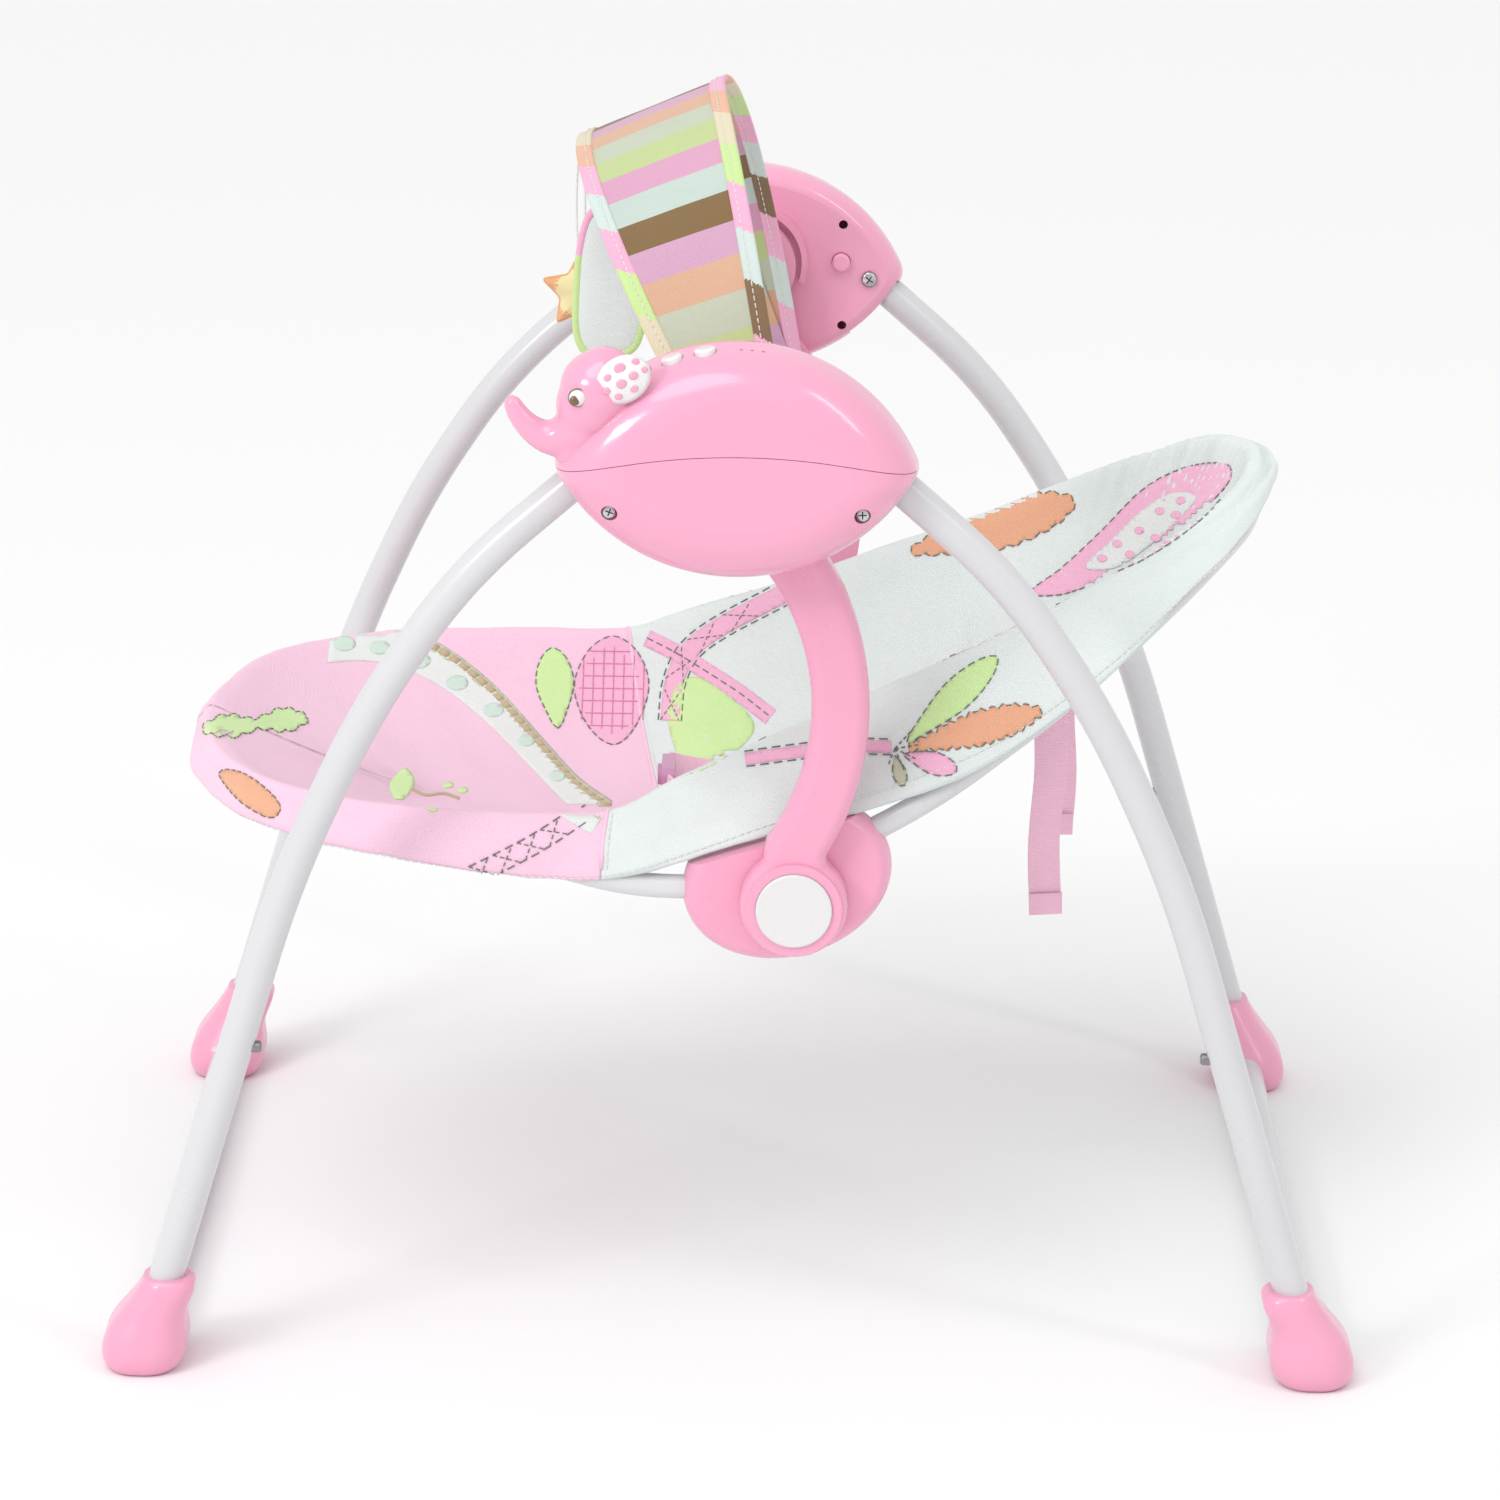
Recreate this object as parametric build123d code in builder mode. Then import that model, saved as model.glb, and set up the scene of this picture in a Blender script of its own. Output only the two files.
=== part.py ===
from build123d import *
from math import atan2, cos, degrees, radians, sin, sqrt
import os

os.makedirs("parts", exist_ok=True)

# Portable baby swing seat. X runs from the foot end to the head end, Y across, Z up.
# The origin is on the floor, midway between the feet. "Near" is the -Y side, "far" the +Y side.

# ---- driving dimensions, millimetres ----
tube_r = 10.0
tube_wall = 1.2
leg_y = 247.0
foot_x = 339.0
floor_tube_z = 14.0
join_x = 290.5
join_z = 176.0
pivot_x = 79.0
pivot_z = 545.0
swaged_length = 30.0

hub_half_length = 102.0
hub_tip_z = 546.0
hub_top_z = 616.0
hub_bottom_z = 484.0

swing_x = 2.0
swing_z = 556.0
arm_inner_y = 211.5
arm_outer_y = 229.0
arm_width = 33.0
arm_arc_centre = (-95.0, 396.0)
arm_arc_r = 155.0
recline_x = 35.0
recline_z = 279.0
cap_r = 22.0

seat_tube_r = 7.0
canopy_x = 30.0
canopy_z = 484.0
fit_gap = 0.05

leg_slope = (foot_x - join_x) / (join_z - floor_tube_z)


def side_plane(distance, side):
    """A plane parallel to XZ, the given distance out on the near (-1) or far (+1) side, facing out."""
    return Plane((0, side * distance, 0), x_dir=(1, 0, 0), z_dir=(0, side, 0))


def up(side, z):
    """Height z as the local y of a side plane, which runs up on the near side and down on the far side."""
    return -side * z


def save(builder, label):
    """Label the finished piece and write its STEP file."""
    builder.part.label = label
    export_step(builder.part, f"parts/{label}.step")
    print(label, round(builder.part.volume), "solids", len(builder.part.solids()))


def disc(side, x, z, radius, start, end):
    """A round disc across the object: centre (x, z), from distance start to distance end."""
    with BuildPart() as piece:
        with BuildSketch(side_plane(start, side)):
            with Locations((x, up(side, z))):
                Circle(radius)
        extrude(amount=end - start)
    return piece.part


def leg_run(direction, side):
    """The bent line of an upper leg tube, from the join up to its pivot in the hub."""
    x_values = [join_x, join_x - leg_slope * (300.0 - join_z), 207.0, 153.0, pivot_x]
    z_values = [join_z, 300.0, 400.0, 480.0, pivot_z]
    return [(direction * x, side * leg_y, z) for x, z in zip(x_values, z_values)]


def floor_run(direction, top_z):
    """The corners of a lower U tube: down one side, across the floor, up the other side."""
    top_x = join_x - leg_slope * (top_z - join_z)
    top = [(direction * top_x, s * leg_y, top_z) for s in (-1, 1)]
    low = [(direction * foot_x, s * leg_y, floor_tube_z) for s in (-1, 1)]
    return [top[0], low[0], low[1], top[1]]


def tube_along(points, bends, outer, inner=0.0):
    """A round tube, or a rod where inner is 0, swept along straight runs joined by tangent arcs."""
    with BuildPart() as piece:
        with BuildLine():
            path = FilletPolyline(*points, radius=bends) if bends else Polyline(*points)
        with BuildSketch(Plane(path @ 0, z_dir=path % 0)):
            Circle(outer)
            if inner:
                Circle(inner, mode=Mode.SUBTRACT)
        sweep(path=path)
    return piece.part


def hub_body(side, stations):
    """A lemon-shaped hub body lofted through (distance out, inset) stations of its two-arc outline."""
    tip = up(side, hub_tip_z)
    with BuildPart() as body:
        for distance, inset in stations:
            half = hub_half_length - inset
            with BuildSketch(side_plane(distance, side)) as outline:
                with BuildLine():
                    ThreePointArc((-half, tip), (0, up(side, hub_top_z - inset)), (half, tip))
                    ThreePointArc((half, tip), (0, up(side, hub_bottom_z + inset)), (-half, tip))
                make_face()
                fillet(outline.vertices(), 11)
        loft()
    return body.part


leg_bends = [700, 520, 330]
hole_z = join_z + 22.0
outer_dome = [(250.0, 0.0), (262.0, 1.5), (273.0, 5.0), (282.0, 12.0), (288.0, 23.0), (290.0, 34.0)]
outer_hollow = [(250.0, 2.6), (262.0, 4.1), (271.5, 7.6), (279.5, 14.6), (285.0, 25.6), (286.8, 36.0)]
inner_dome = [(250.0, 0.0), (241.0, 1.2), (235.0, 4.5), (232.0, 10.0)]
inner_hollow = [(250.0, 2.6), (241.0, 3.8), (234.6, 8.5)]
top_arc_r = (hub_half_length**2 + (hub_top_z - hub_tip_z) ** 2) / (2 * (hub_top_z - hub_tip_z))
top_arc_z = hub_top_z - top_arc_r
button_x = (-53.0, -36.0, -18.0)
button_names = ("power_button", "speed_button", "music_button")
button_y = -262.0
deck_inset = 1.5


def deck_plane(x, lift):
    """A plane on the top deck of the near hub at x, square to the surface and lifted off it."""
    radius = top_arc_r - deck_inset
    rise = sqrt(radius**2 - x**2)
    normal = (x / radius, 0, rise / radius)
    origin = (x + lift * normal[0], button_y, top_arc_z + rise + lift * normal[2])
    return Plane(origin, x_dir=(0, 1, 0), z_dir=normal)


# ---- floor tubes: one U each for the front (-X) and the rear (+X) ----
for direction, name in ((-1, "front_floor_tube"), (1, "rear_floor_tube")):
    corners = floor_run(direction, join_z)
    tops = floor_run(direction, join_z + swaged_length)
    sockets = floor_run(direction, join_z - 8)
    with BuildPart() as floor_tube:
        add(tube_along(corners, 42, tube_r, tube_r - tube_wall))
        for end in (0, 3):
            add(tube_along([tops[end], sockets[end]], None, tube_r - tube_wall - fit_gap, tube_r - 4))
            add(tube_along([sockets[end], corners[end]], None, tube_r - tube_wall + 0.4, tube_r - 4))
        with BuildSketch(Plane((0, 0, hole_z), x_dir=(0, 1, 0), z_dir=(direction, 0, 0))):
            with Locations((leg_y, 0), (-leg_y, 0)):
                Circle(3.7)
        extrude(amount=join_x - 8, mode=Mode.SUBTRACT)
    save(floor_tube, name)

# ---- upper leg tubes: four bent tubes, from the join up into the hubs ----
for direction, end_name in ((-1, "front"), (1, "rear")):
    for side, side_name in ((-1, "near"), (1, "far")):
        with BuildPart() as leg:
            add(tube_along(leg_run(direction, side), leg_bends, tube_r, tube_r - tube_wall))
            add(disc(side, direction * pivot_x, pivot_z, 11.5, 230, 264), mode=Mode.SUBTRACT)
            with BuildSketch(Plane((0, side * leg_y, hole_z), x_dir=(0, 1, 0), z_dir=(direction, 0, 0))):
                Circle(3.7)
            extrude(amount=join_x - 8, mode=Mode.SUBTRACT)
        save(leg, f"{end_name}_leg_{side_name}")

# ---- knuckles: the plastic eye in the top end of each upper leg tube ----
for direction, end_name in ((-1, "front"), (1, "rear")):
    with BuildPart() as knuckles:
        for side in (-1, 1):
            add(disc(side, direction * pivot_x, pivot_z, 10.5, 237.5, 256.5))
            run = leg_run(direction, side)
            start = Vector(*run[4]) + (Vector(*run[3]) - Vector(*run[4])).normalized() * 6
            end = Vector(*run[4]) + (Vector(*run[3]) - Vector(*run[4])).normalized() * 32
            add(tube_along([start, end], None, tube_r - tube_wall - fit_gap))
            add(disc(side, direction * pivot_x, pivot_z, 3.05, 230, 264), mode=Mode.SUBTRACT)
    save(knuckles, f"{end_name}_knuckles")

# ---- pivot screws: one through each knuckle, its head on the hub's inner face ----
for direction, end_name in ((-1, "front"), (1, "rear")):
    with BuildPart() as screws:
        for side in (-1, 1):
            add(disc(side, direction * pivot_x, pivot_z, 5.0, 229.6, 231.9))
            add(disc(side, direction * pivot_x, pivot_z, 3.0, 231.9, 266))
            with BuildSketch(side_plane(229.6, side)):
                with Locations((direction * pivot_x, up(side, pivot_z))):
                    Rectangle(5.5, 1.1)
                    Rectangle(1.1, 5.5)
            extrude(amount=1.2, mode=Mode.SUBTRACT)
    save(screws, f"{end_name}_pivot_screws")

# ---- feet: a soft boot over each bottom corner ----
for direction, end_name in ((-1, "front"), (1, "rear")):
    with BuildPart() as feet:
        for side in (-1, 1):
            for z, x, y, length, width in (
                (0.0, 341.0, 240.0, 34.0, 52.0),
                (2.5, 341.0, 240.0, 42.0, 59.0),
                (9.0, 340.5, 240.0, 48.0, 64.0),
                (22.0, 339.0, 240.5, 46.0, 60.0),
                (40.0, 331.5, 243.5, 36.0, 44.0),
                (56.0, 326.5, 246.5, 26.5, 29.0),
            ):
                with BuildSketch(Plane.XY.offset(z)):
                    with Locations((direction * x, side * y)):
                        RectangleRounded(length, width, 0.42 * length)
            loft()
        corners = floor_run(direction, join_z)
        add(tube_along(corners, 42, tube_r), mode=Mode.SUBTRACT)
    save(feet, f"{end_name}_feet")

# ---- leg snap buttons: a sprung pin through both tubes at each join ----
snap_x = join_x - leg_slope * (hole_z - join_z)
for direction, end_name in ((-1, "front"), (1, "rear")):
    for side, side_name in ((-1, "near"), (1, "far")):
        with BuildPart() as snap:
            with BuildSketch(Plane((0, side * leg_y, hole_z), z_dir=(direction, 0, 0)).offset(snap_x - 15)):
                Circle(3.5)
            extrude(amount=13)
            fillet(snap.faces().sort_by(Axis.X)[0 if direction > 0 else -1].edges(), 1.6)
        save(snap, f"snap_button_{end_name}_{side_name}")

# ---- hub casings: an inner and an outer shell on each side ----
slot_start = degrees(atan2(480.0 - pivot_z, 153.0 - pivot_x))
slot_bottom = slot_start - 47.0


def tube_slot(side):
    """The sector through which the rear leg tube folds down, cut out of a hub shell."""
    reach = 60.0
    clear = tube_r + 0.6
    below = radians(slot_bottom)
    above = radians(slot_start)
    top_x = pivot_x - clear * sin(above)
    top_z = pivot_z + clear * cos(above)
    corners = [
        (pivot_x - 11.6, up(side, pivot_z)),
        (pivot_x - 11.6, up(side, pivot_z - reach)),
        (pivot_x + reach * cos(below), up(side, pivot_z + reach * sin(below))),
        (top_x + reach * cos(above), up(side, top_z + reach * sin(above))),
        (top_x, up(side, top_z)),
    ]
    with BuildPart() as slot:
        with BuildSketch(side_plane(236.6, side)):
            with BuildLine():
                Polyline(*corners, close=True)
            make_face()
        extrude(amount=20.8)
    return slot.part


case_hole_x = 62.0
case_hole_z = (580.0, 514.5)
for side, side_name in ((-1, "near"), (1, "far")):
    with BuildPart() as inner_shell:
        add(hub_body(side, inner_dome))
        add(hub_body(side, inner_hollow), mode=Mode.SUBTRACT)
        with BuildSketch(side_plane(224.0, side)):
            with Locations((swing_x, up(side, swing_z))):
                Circle(37.5)
                Circle(33.8, mode=Mode.SUBTRACT)
            with BuildLine():
                low_side = [radians(angle) for angle in (-20, -85, -150)]
                spokes = [(swing_x + 70 * cos(a), up(side, swing_z + 70 * sin(a))) for a in low_side]
                Polyline((swing_x, up(side, swing_z)), *spokes, close=True)
            make_face(mode=Mode.SUBTRACT)
        extrude(amount=9.5)
        add(disc(side, swing_x, swing_z, 11.0, 233.0, 244.0))
        add(disc(side, swing_x, swing_z, 8.0, 220.0, 250.0), mode=Mode.SUBTRACT)
        add(disc(side, 61.0, 556.0, 6.1, 228.0, 244.0), mode=Mode.SUBTRACT)
        for direction in (-1, 1):
            add(disc(side, direction * pivot_x, pivot_z, 3.0, 228.0, 244.0), mode=Mode.SUBTRACT)
            for z in case_hole_z:
                add(disc(side, direction * case_hole_x, z, 2.9, 228.0, 244.0), mode=Mode.SUBTRACT)
        add(tube_along(leg_run(-1, side), leg_bends, tube_r), mode=Mode.SUBTRACT)
        add(tube_slot(side), mode=Mode.SUBTRACT)
    save(inner_shell, f"hub_{side_name}_inner_shell")


def below_seam(start, drop):
    """Everything under the arched seam of the near hub's face, from a distance out, drawn down by drop."""
    with BuildPart() as region:
        with BuildSketch(side_plane(start, -1)):
            with BuildLine():
                ThreePointArc((-106, 544.5 - drop), (0, 560.5 - drop), (106, 545.5 - drop))
                Polyline((106, 545.5 - drop), (106, 470), (-106, 470), (-106, 544.5 - drop))
            make_face()
        extrude(amount=44)
    return region.part


def button_hole(x, radius, depth):
    """A round plug square to the top deck of the near hub, for a button or a hole."""
    with BuildPart() as plug:
        with BuildSketch(deck_plane(x, -depth)):
            Circle(radius)
        extrude(amount=2 * depth)
    return plug.part


screw_x = 69.5
screw_z = 527.0
cover_start = 262.0
near_shell = hub_body(-1, outer_dome) - hub_body(-1, outer_hollow)
for direction in (-1, 1):
    near_shell -= disc(-1, direction * screw_x, screw_z, 4.6, 279.5, 292.0)
near_shell = near_shell - tube_along(leg_run(-1, -1), leg_bends, tube_r) - tube_slot(-1)

with BuildPart() as hub_near_outer_shell:
    add(near_shell)
    add(below_seam(cover_start - 0.3, -0.4), mode=Mode.SUBTRACT)
    for x in button_x:
        add(button_hole(x, 6.35, 12), mode=Mode.SUBTRACT)
    for x in (2.0, 8.0, 14.0):
        add(button_hole(x, 1.0, 8), mode=Mode.SUBTRACT)
save(hub_near_outer_shell, "hub_near_outer_shell")

with BuildPart() as hub_near_battery_cover:
    add(near_shell)
    add(below_seam(cover_start, 0.0), mode=Mode.INTERSECT)
    for direction in (-1, 1):
        add(disc(-1, direction * screw_x, screw_z, 6.0, 266.0, 279.5))
        add(disc(-1, direction * screw_x, screw_z, 1.7, 262.0, 290.0), mode=Mode.SUBTRACT)
save(hub_near_battery_cover, "hub_near_battery_cover")

with BuildPart() as hub_far_outer_shell:
    add(hub_body(1, outer_dome))
    add(hub_body(1, outer_hollow), mode=Mode.SUBTRACT)
    add(tube_along(leg_run(-1, 1), leg_bends, tube_r), mode=Mode.SUBTRACT)
    add(tube_slot(1), mode=Mode.SUBTRACT)
save(hub_far_outer_shell, "hub_far_outer_shell")

with BuildPart() as battery_cover_screws:
    for direction in (-1, 1):
        add(disc(-1, direction * screw_x, screw_z, 4.0, 279.6, 281.8))
        add(disc(-1, direction * screw_x, screw_z, 1.65, 267.0, 279.6))
        with BuildSketch(side_plane(280.8, -1)):
            with Locations((direction * screw_x, screw_z)):
                Rectangle(4.6, 1.0)
                Rectangle(1.0, 4.6)
        extrude(amount=2, mode=Mode.SUBTRACT)
save(battery_cover_screws, "battery_cover_screws")

with BuildPart() as pivot_nuts:
    for side in (-1, 1):
        for direction in (-1, 1):
            with BuildSketch(side_plane(257.2, side)):
                with Locations((direction * pivot_x, up(side, pivot_z))):
                    RegularPolygon(5.6, 6)
                    Circle(3.0, mode=Mode.SUBTRACT)
            extrude(amount=4.5)
save(pivot_nuts, "pivot_nuts")

# ---- moulded elephant head on the foot end of the near hub ----
head_centre = (-76.0, -262.0, 588.0)
trunk_stops = [
    (-92, 573, 12.5, 0),
    (-105, 569, 9.5, 0),
    (-114, 573, 6.8, -45),
    (-120, 580, 5.0, -75),
    (-121.5, 587, 3.8, -90),
]
with BuildPart() as elephant_head:
    with Locations(head_centre):
        Sphere(23)
    for x, z, radius, turn in trunk_stops:
        lean = radians(turn)
        with BuildSketch(Plane((x, head_centre[1], z), x_dir=(0, 1, 0), z_dir=(-cos(lean), 0, -sin(lean)))):
            Circle(radius)
    loft()
    add(hub_body(-1, outer_dome), mode=Mode.SUBTRACT)
    add(hub_body(-1, inner_dome), mode=Mode.SUBTRACT)
    add(tube_along(leg_run(-1, -1), leg_bends, tube_r + 0.5), mode=Mode.SUBTRACT)
    add(button_hole(button_x[0], 7.0, 14), mode=Mode.SUBTRACT)
save(elephant_head, "elephant_head")

with BuildPart() as elephant_ear:
    with BuildSketch(side_plane(276.0, -1)):
        with Locations((-60.0, 599.0)):
            Ellipse(14.5, 12.5, rotation=20)
    extrude(amount=3.5)
    add(elephant_head.part, mode=Mode.SUBTRACT)
    add(hub_body(-1, outer_dome), mode=Mode.SUBTRACT)
    add(button_hole(button_x[0], 7.0, 14), mode=Mode.SUBTRACT)
save(elephant_ear, "elephant_ear")

with BuildPart() as elephant_eye:
    add(disc(-1, -88.0, 588.0, 4.8, 272.0, 284.5))
    add(elephant_head.part, mode=Mode.SUBTRACT)
save(elephant_eye, "elephant_eye")

# ---- three control buttons on the near hub's top deck ----
for x, name in zip(button_x, button_names):
    with BuildPart() as control_button:
        with BuildSketch(deck_plane(x, -8.0)):
            Circle(6.0)
        extrude(amount=10.5)
        fillet(control_button.edges().sort_by(Axis.Z)[-1:], 1.6)
    save(control_button, name)

# ---- inside the near hub: swing drive, board, speaker and batteries ----
with BuildPart() as circuit_board:
    with BuildSketch(Plane.XY.offset(581.0)):
        with Locations((-39.0, -257.0)):
            Rectangle(38.0, 20.0)
    extrude(amount=1.6)
save(circuit_board, "circuit_board")

with BuildPart() as speaker:
    add(disc(-1, 32.0, 585.0, 13.0, 262.0, 266.0))
    add(disc(-1, 32.0, 585.0, 8.0, 256.0, 262.0))
save(speaker, "speaker")

with BuildPart() as drive_coil:
    add(disc(-1, swing_x, swing_z + 32.0, 10.0, 256.0, 266.0))
    add(disc(-1, swing_x, swing_z + 32.0, 4.0, 255.0, 267.0), mode=Mode.SUBTRACT)
save(drive_coil, "drive_coil")

with BuildPart() as battery_tray:
    with BuildSketch(Plane.XY.offset(506.2)):
        with Locations((0.0, -251.0)):
            Rectangle(106.0, 29.0)
    extrude(amount=1.6)
    with BuildSketch(Plane.XY.offset(506.2)):
        with Locations((-52.4, -251.0), (52.4, -251.0)):
            Rectangle(1.2, 29.0)
    extrude(amount=16.0)
save(battery_tray, "battery_tray")

with BuildPart() as batteries:
    for y in (-243.8, -258.6):
        for start in (-51.2, 0.4):
            with BuildSketch(Plane((start, y, 515.2), x_dir=(0, 1, 0), z_dir=(1, 0, 0))):
                Circle(7.2)
            extrude(amount=49.2)
            with BuildSketch(Plane((start + 49.2, y, 515.2), x_dir=(0, 1, 0), z_dir=(1, 0, 0))):
                Circle(2.7)
            extrude(amount=1.2)
save(batteries, "batteries")

# ---- swing shafts, their bushes and the magnet lever ----
with BuildPart() as swing_bushes:
    for side in (-1, 1):
        add(disc(side, swing_x, swing_z, 10.0, 229.5, 231.9))
        add(disc(side, swing_x, swing_z, 7.95, 231.9, 244.0))
        add(disc(side, swing_x, swing_z, 6.05, 228.0, 245.0), mode=Mode.SUBTRACT)
save(swing_bushes, "swing_bushes")

with BuildPart() as swing_shafts:
    for side in (-1, 1):
        add(disc(side, swing_x, swing_z, 6.0, 213.0, 252.0))
save(swing_shafts, "swing_shafts")

with BuildPart() as magnet_lever:
    add(disc(-1, swing_x, swing_z, 9.5, 246.0, 250.0))
    with BuildSketch(side_plane(246.0, -1)):
        with Locations((swing_x, swing_z + 16.0)):
            Rectangle(10.0, 32.0)
    extrude(amount=4.0)
    add(disc(-1, swing_x, swing_z + 32.0, 7.5, 246.0, 254.0))
    add(disc(-1, swing_x, swing_z, 6.0, 240.0, 256.0), mode=Mode.SUBTRACT)
save(magnet_lever, "magnet_lever")

# ---- fold release buttons on the hubs' inner faces ----
for side, side_name in ((-1, "near"), (1, "far")):
    with BuildPart() as release:
        add(disc(side, 61.0, 556.0, 5.8, 226.5, 240.0))
        fillet(release.edges().sort_by(Axis.Y)[-1 if side < 0 else 0], 1.8)
    save(release, f"fold_release_{side_name}")

# ---- swing arms: a disc at the hub, a curved blade and a boss round the recline button ----


def corners_on(vertices, x, z, radius):
    """Those vertices that lie on a circle about (x, z)."""
    return [v for v in vertices if abs(Vector(v.X - x, v.Y - z).length - radius) < 0.01]


with BuildPart() as arm_near:
    with BuildSketch(side_plane(arm_inner_y, -1)) as arm_outline:
        with BuildLine():
            blade = CenterArc(arm_arc_centre, arm_arc_r, -33.7, 86.8)
        SlotArc(blade, arm_width)
        with Locations((recline_x, recline_z)):
            Circle(31.0)
        with Locations((swing_x, swing_z)):
            Circle(30.0)
        fillet(corners_on(arm_outline.vertices(), recline_x, recline_z, 31.0), 8)
        fillet(corners_on(arm_outline.vertices(), swing_x, swing_z, 30.0), 8)
    extrude(amount=arm_outer_y - arm_inner_y)
    outer_edges = arm_near.faces().sort_by(Axis.Y)[0].edges()
    fillet(outer_edges, 8.0)
    add(disc(-1, recline_x, recline_z, 27.5, 220.0, 231.0))
    add(disc(-1, recline_x, recline_z, cap_r + 0.2, 218.0, 232.0), mode=Mode.SUBTRACT)
    add(disc(-1, recline_x, recline_z, 5.05, 210.0, 220.0), mode=Mode.SUBTRACT)
    add(disc(-1, swing_x, swing_z, 6.0, 210.0, 232.0), mode=Mode.SUBTRACT)
    add(disc(-1, canopy_x, canopy_z, 3.05, 210.0, 222.0), mode=Mode.SUBTRACT)
save(arm_near, "swing_arm_near")

with BuildPart() as arm_far:
    mirror(arm_near.part, about=Plane.XZ)
save(arm_far, "swing_arm_far")

# ---- recline buttons: the round white caps in the arms' bosses ----
for side, side_name in ((-1, "near"), (1, "far")):
    with BuildPart() as cap:
        add(disc(side, recline_x, recline_z, cap_r, 221.5, 233.2))
        fillet(cap.edges().sort_by(Axis.Y)[0 if side < 0 else -1], 1.4)
    save(cap, f"recline_button_{side_name}")

# ---- canopy: an arched fabric band on a flat spring strip, pivoted on the arms ----
canopy_half_width = 204.5


def canopy_edges(turn):
    """The foot-side and head-side edge points of the band, at an angle from the top of the arch."""
    share = 1 - cos(radians(turn))
    y = canopy_half_width * sin(radians(turn))
    foot = Vector(-97.0 + 113.0 * share, y, 677.0 - (677.0 - canopy_z) * share)
    head = Vector(-13.0 + 51.0 * share**0.75, y, 713.0 - (713.0 - canopy_z) * share)
    return foot, head


def canopy_plane(turn, lift):
    """A plane across the band at that angle, its local y off the band's outer face."""
    foot, head = canopy_edges(turn)
    before = sum(canopy_edges(turn - 1), Vector())
    after = sum(canopy_edges(turn + 1), Vector())
    along = (after - before).normalized()
    across = (head - foot).normalized()
    outward = along.cross(across).normalized()
    return Plane((foot + head) * 0.5 + outward * lift, x_dir=across, z_dir=along)


def canopy_band(lift, thickness, strip_width=None, end=86.0):
    """A band swept over the arch: as wide as the fabric, or a strip of the given width."""
    turns = [end * step / 8 for step in range(-8, 9)]
    with BuildPart() as band:
        for turn in turns:
            foot, head = canopy_edges(turn)
            with BuildSketch(canopy_plane(turn, lift)):
                Rectangle(strip_width or (head - foot).length, thickness)
        loft()
    return band.part


with BuildPart() as canopy_cover:
    add(canopy_band(0.0, 2.0))
save(canopy_cover, "canopy_cover")

with BuildPart() as canopy_strip:
    add(canopy_band(-2.2, 1.4, 10.0))
save(canopy_strip, "canopy_strip")

with BuildPart() as canopy_clips:
    for side in (-1, 1):
        add(disc(side, canopy_x, canopy_z, 8.5, 207.5, 211.2))
        add(disc(side, canopy_x, canopy_z, 3.0, 211.2, 220.5))
        with BuildSketch(side_plane(207.5, side)):
            with Locations((canopy_x - 1.5, up(side, canopy_z + 14.0))):
                Rectangle(11.0, 26.0)
        extrude(amount=2.5)
save(canopy_clips, "canopy_clips")

# ---- two soft toys that hang from the canopy's foot-side edge ----
star_x, star_y, star_z = -98.0, 44.0, 577.0
star_hang_z = 671.0
leaf_x, leaf_y, leaf_z = -78.0, -6.0, 600.0
leaf_hang_z = 680.6
star_points = 5
star_radii = (24.0, 11.5)
with BuildPart() as toy_star:
    with BuildSketch(Plane.XZ.offset(-star_y - 5)):
        with BuildLine():
            spikes = []
            for step in range(2 * star_points):
                reach = star_radii[step % 2]
                turn = radians(90 + 180 * step / star_points)
                spikes.append((star_x + reach * cos(turn), star_z + reach * sin(turn)))
            Polyline(*spikes, close=True)
        make_face()
    extrude(amount=10)
    fillet(toy_star.edges().filter_by(Axis.Y), 2)
    with BuildSketch(Plane.XY.offset(star_z + 20)):
        with Locations((star_x, star_y)):
            Rectangle(4, 1.6)
    extrude(amount=star_hang_z - star_z - 20)
save(toy_star, "toy_star")

with BuildPart() as toy_leaf:
    with BuildSketch(Plane.XZ.offset(-leaf_y - 5)):
        with BuildLine():
            ThreePointArc((leaf_x, leaf_z + 40), (leaf_x - 20, leaf_z), (leaf_x, leaf_z - 46))
            ThreePointArc((leaf_x, leaf_z - 46), (leaf_x + 20, leaf_z), (leaf_x, leaf_z + 40))
        make_face()
    extrude(amount=10)
    with BuildSketch(Plane.XY.offset(leaf_z + 34)):
        with Locations((leaf_x, leaf_y)):
            Rectangle(4, 1.6)
    extrude(amount=leaf_hang_z - leaf_z - 34)
save(toy_leaf, "toy_leaf")

# ---- seat frame: a foot loop and a head loop of light tube, plugged into the recline housings ----
foot_side = [(10.0, -197.0, 281.0), (-60.0, -197.0, 281.5), (-150.0, -190.0, 304.0), (-245.0, -176.0, 309.0)]
foot_tip = (-311.0, -86.0, 309.0)
head_side = [(50.0, -197.0, 301.0), (112.0, -192.0, 333.0), (180.0, -158.0, 376.0), (252.0, -118.0, 430.0)]
head_tip = (303.0, -50.0, 466.0)
foot_bends = [200, 380, 98, 140]
head_bends = [200, 300, 300, 65]


def loop_of(half, tip):
    """The corner points of a symmetric loop: one side, its tip, and their mirror images."""
    near = [*half, tip]
    return near + [(x, -y, z) for x, y, z in reversed(near)]


foot_loop = loop_of(foot_side, foot_tip)
head_loop = loop_of(head_side, head_tip)
foot_radii = foot_bends + foot_bends[::-1]
head_radii = head_bends + head_bends[::-1]
with BuildPart() as seat_frame_foot:
    add(tube_along(foot_loop, foot_radii, seat_tube_r, seat_tube_r - tube_wall))
save(seat_frame_foot, "seat_frame_foot")

with BuildPart() as seat_frame_head:
    add(tube_along(head_loop, head_radii, seat_tube_r, seat_tube_r - tube_wall))
save(seat_frame_head, "seat_frame_head")

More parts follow.
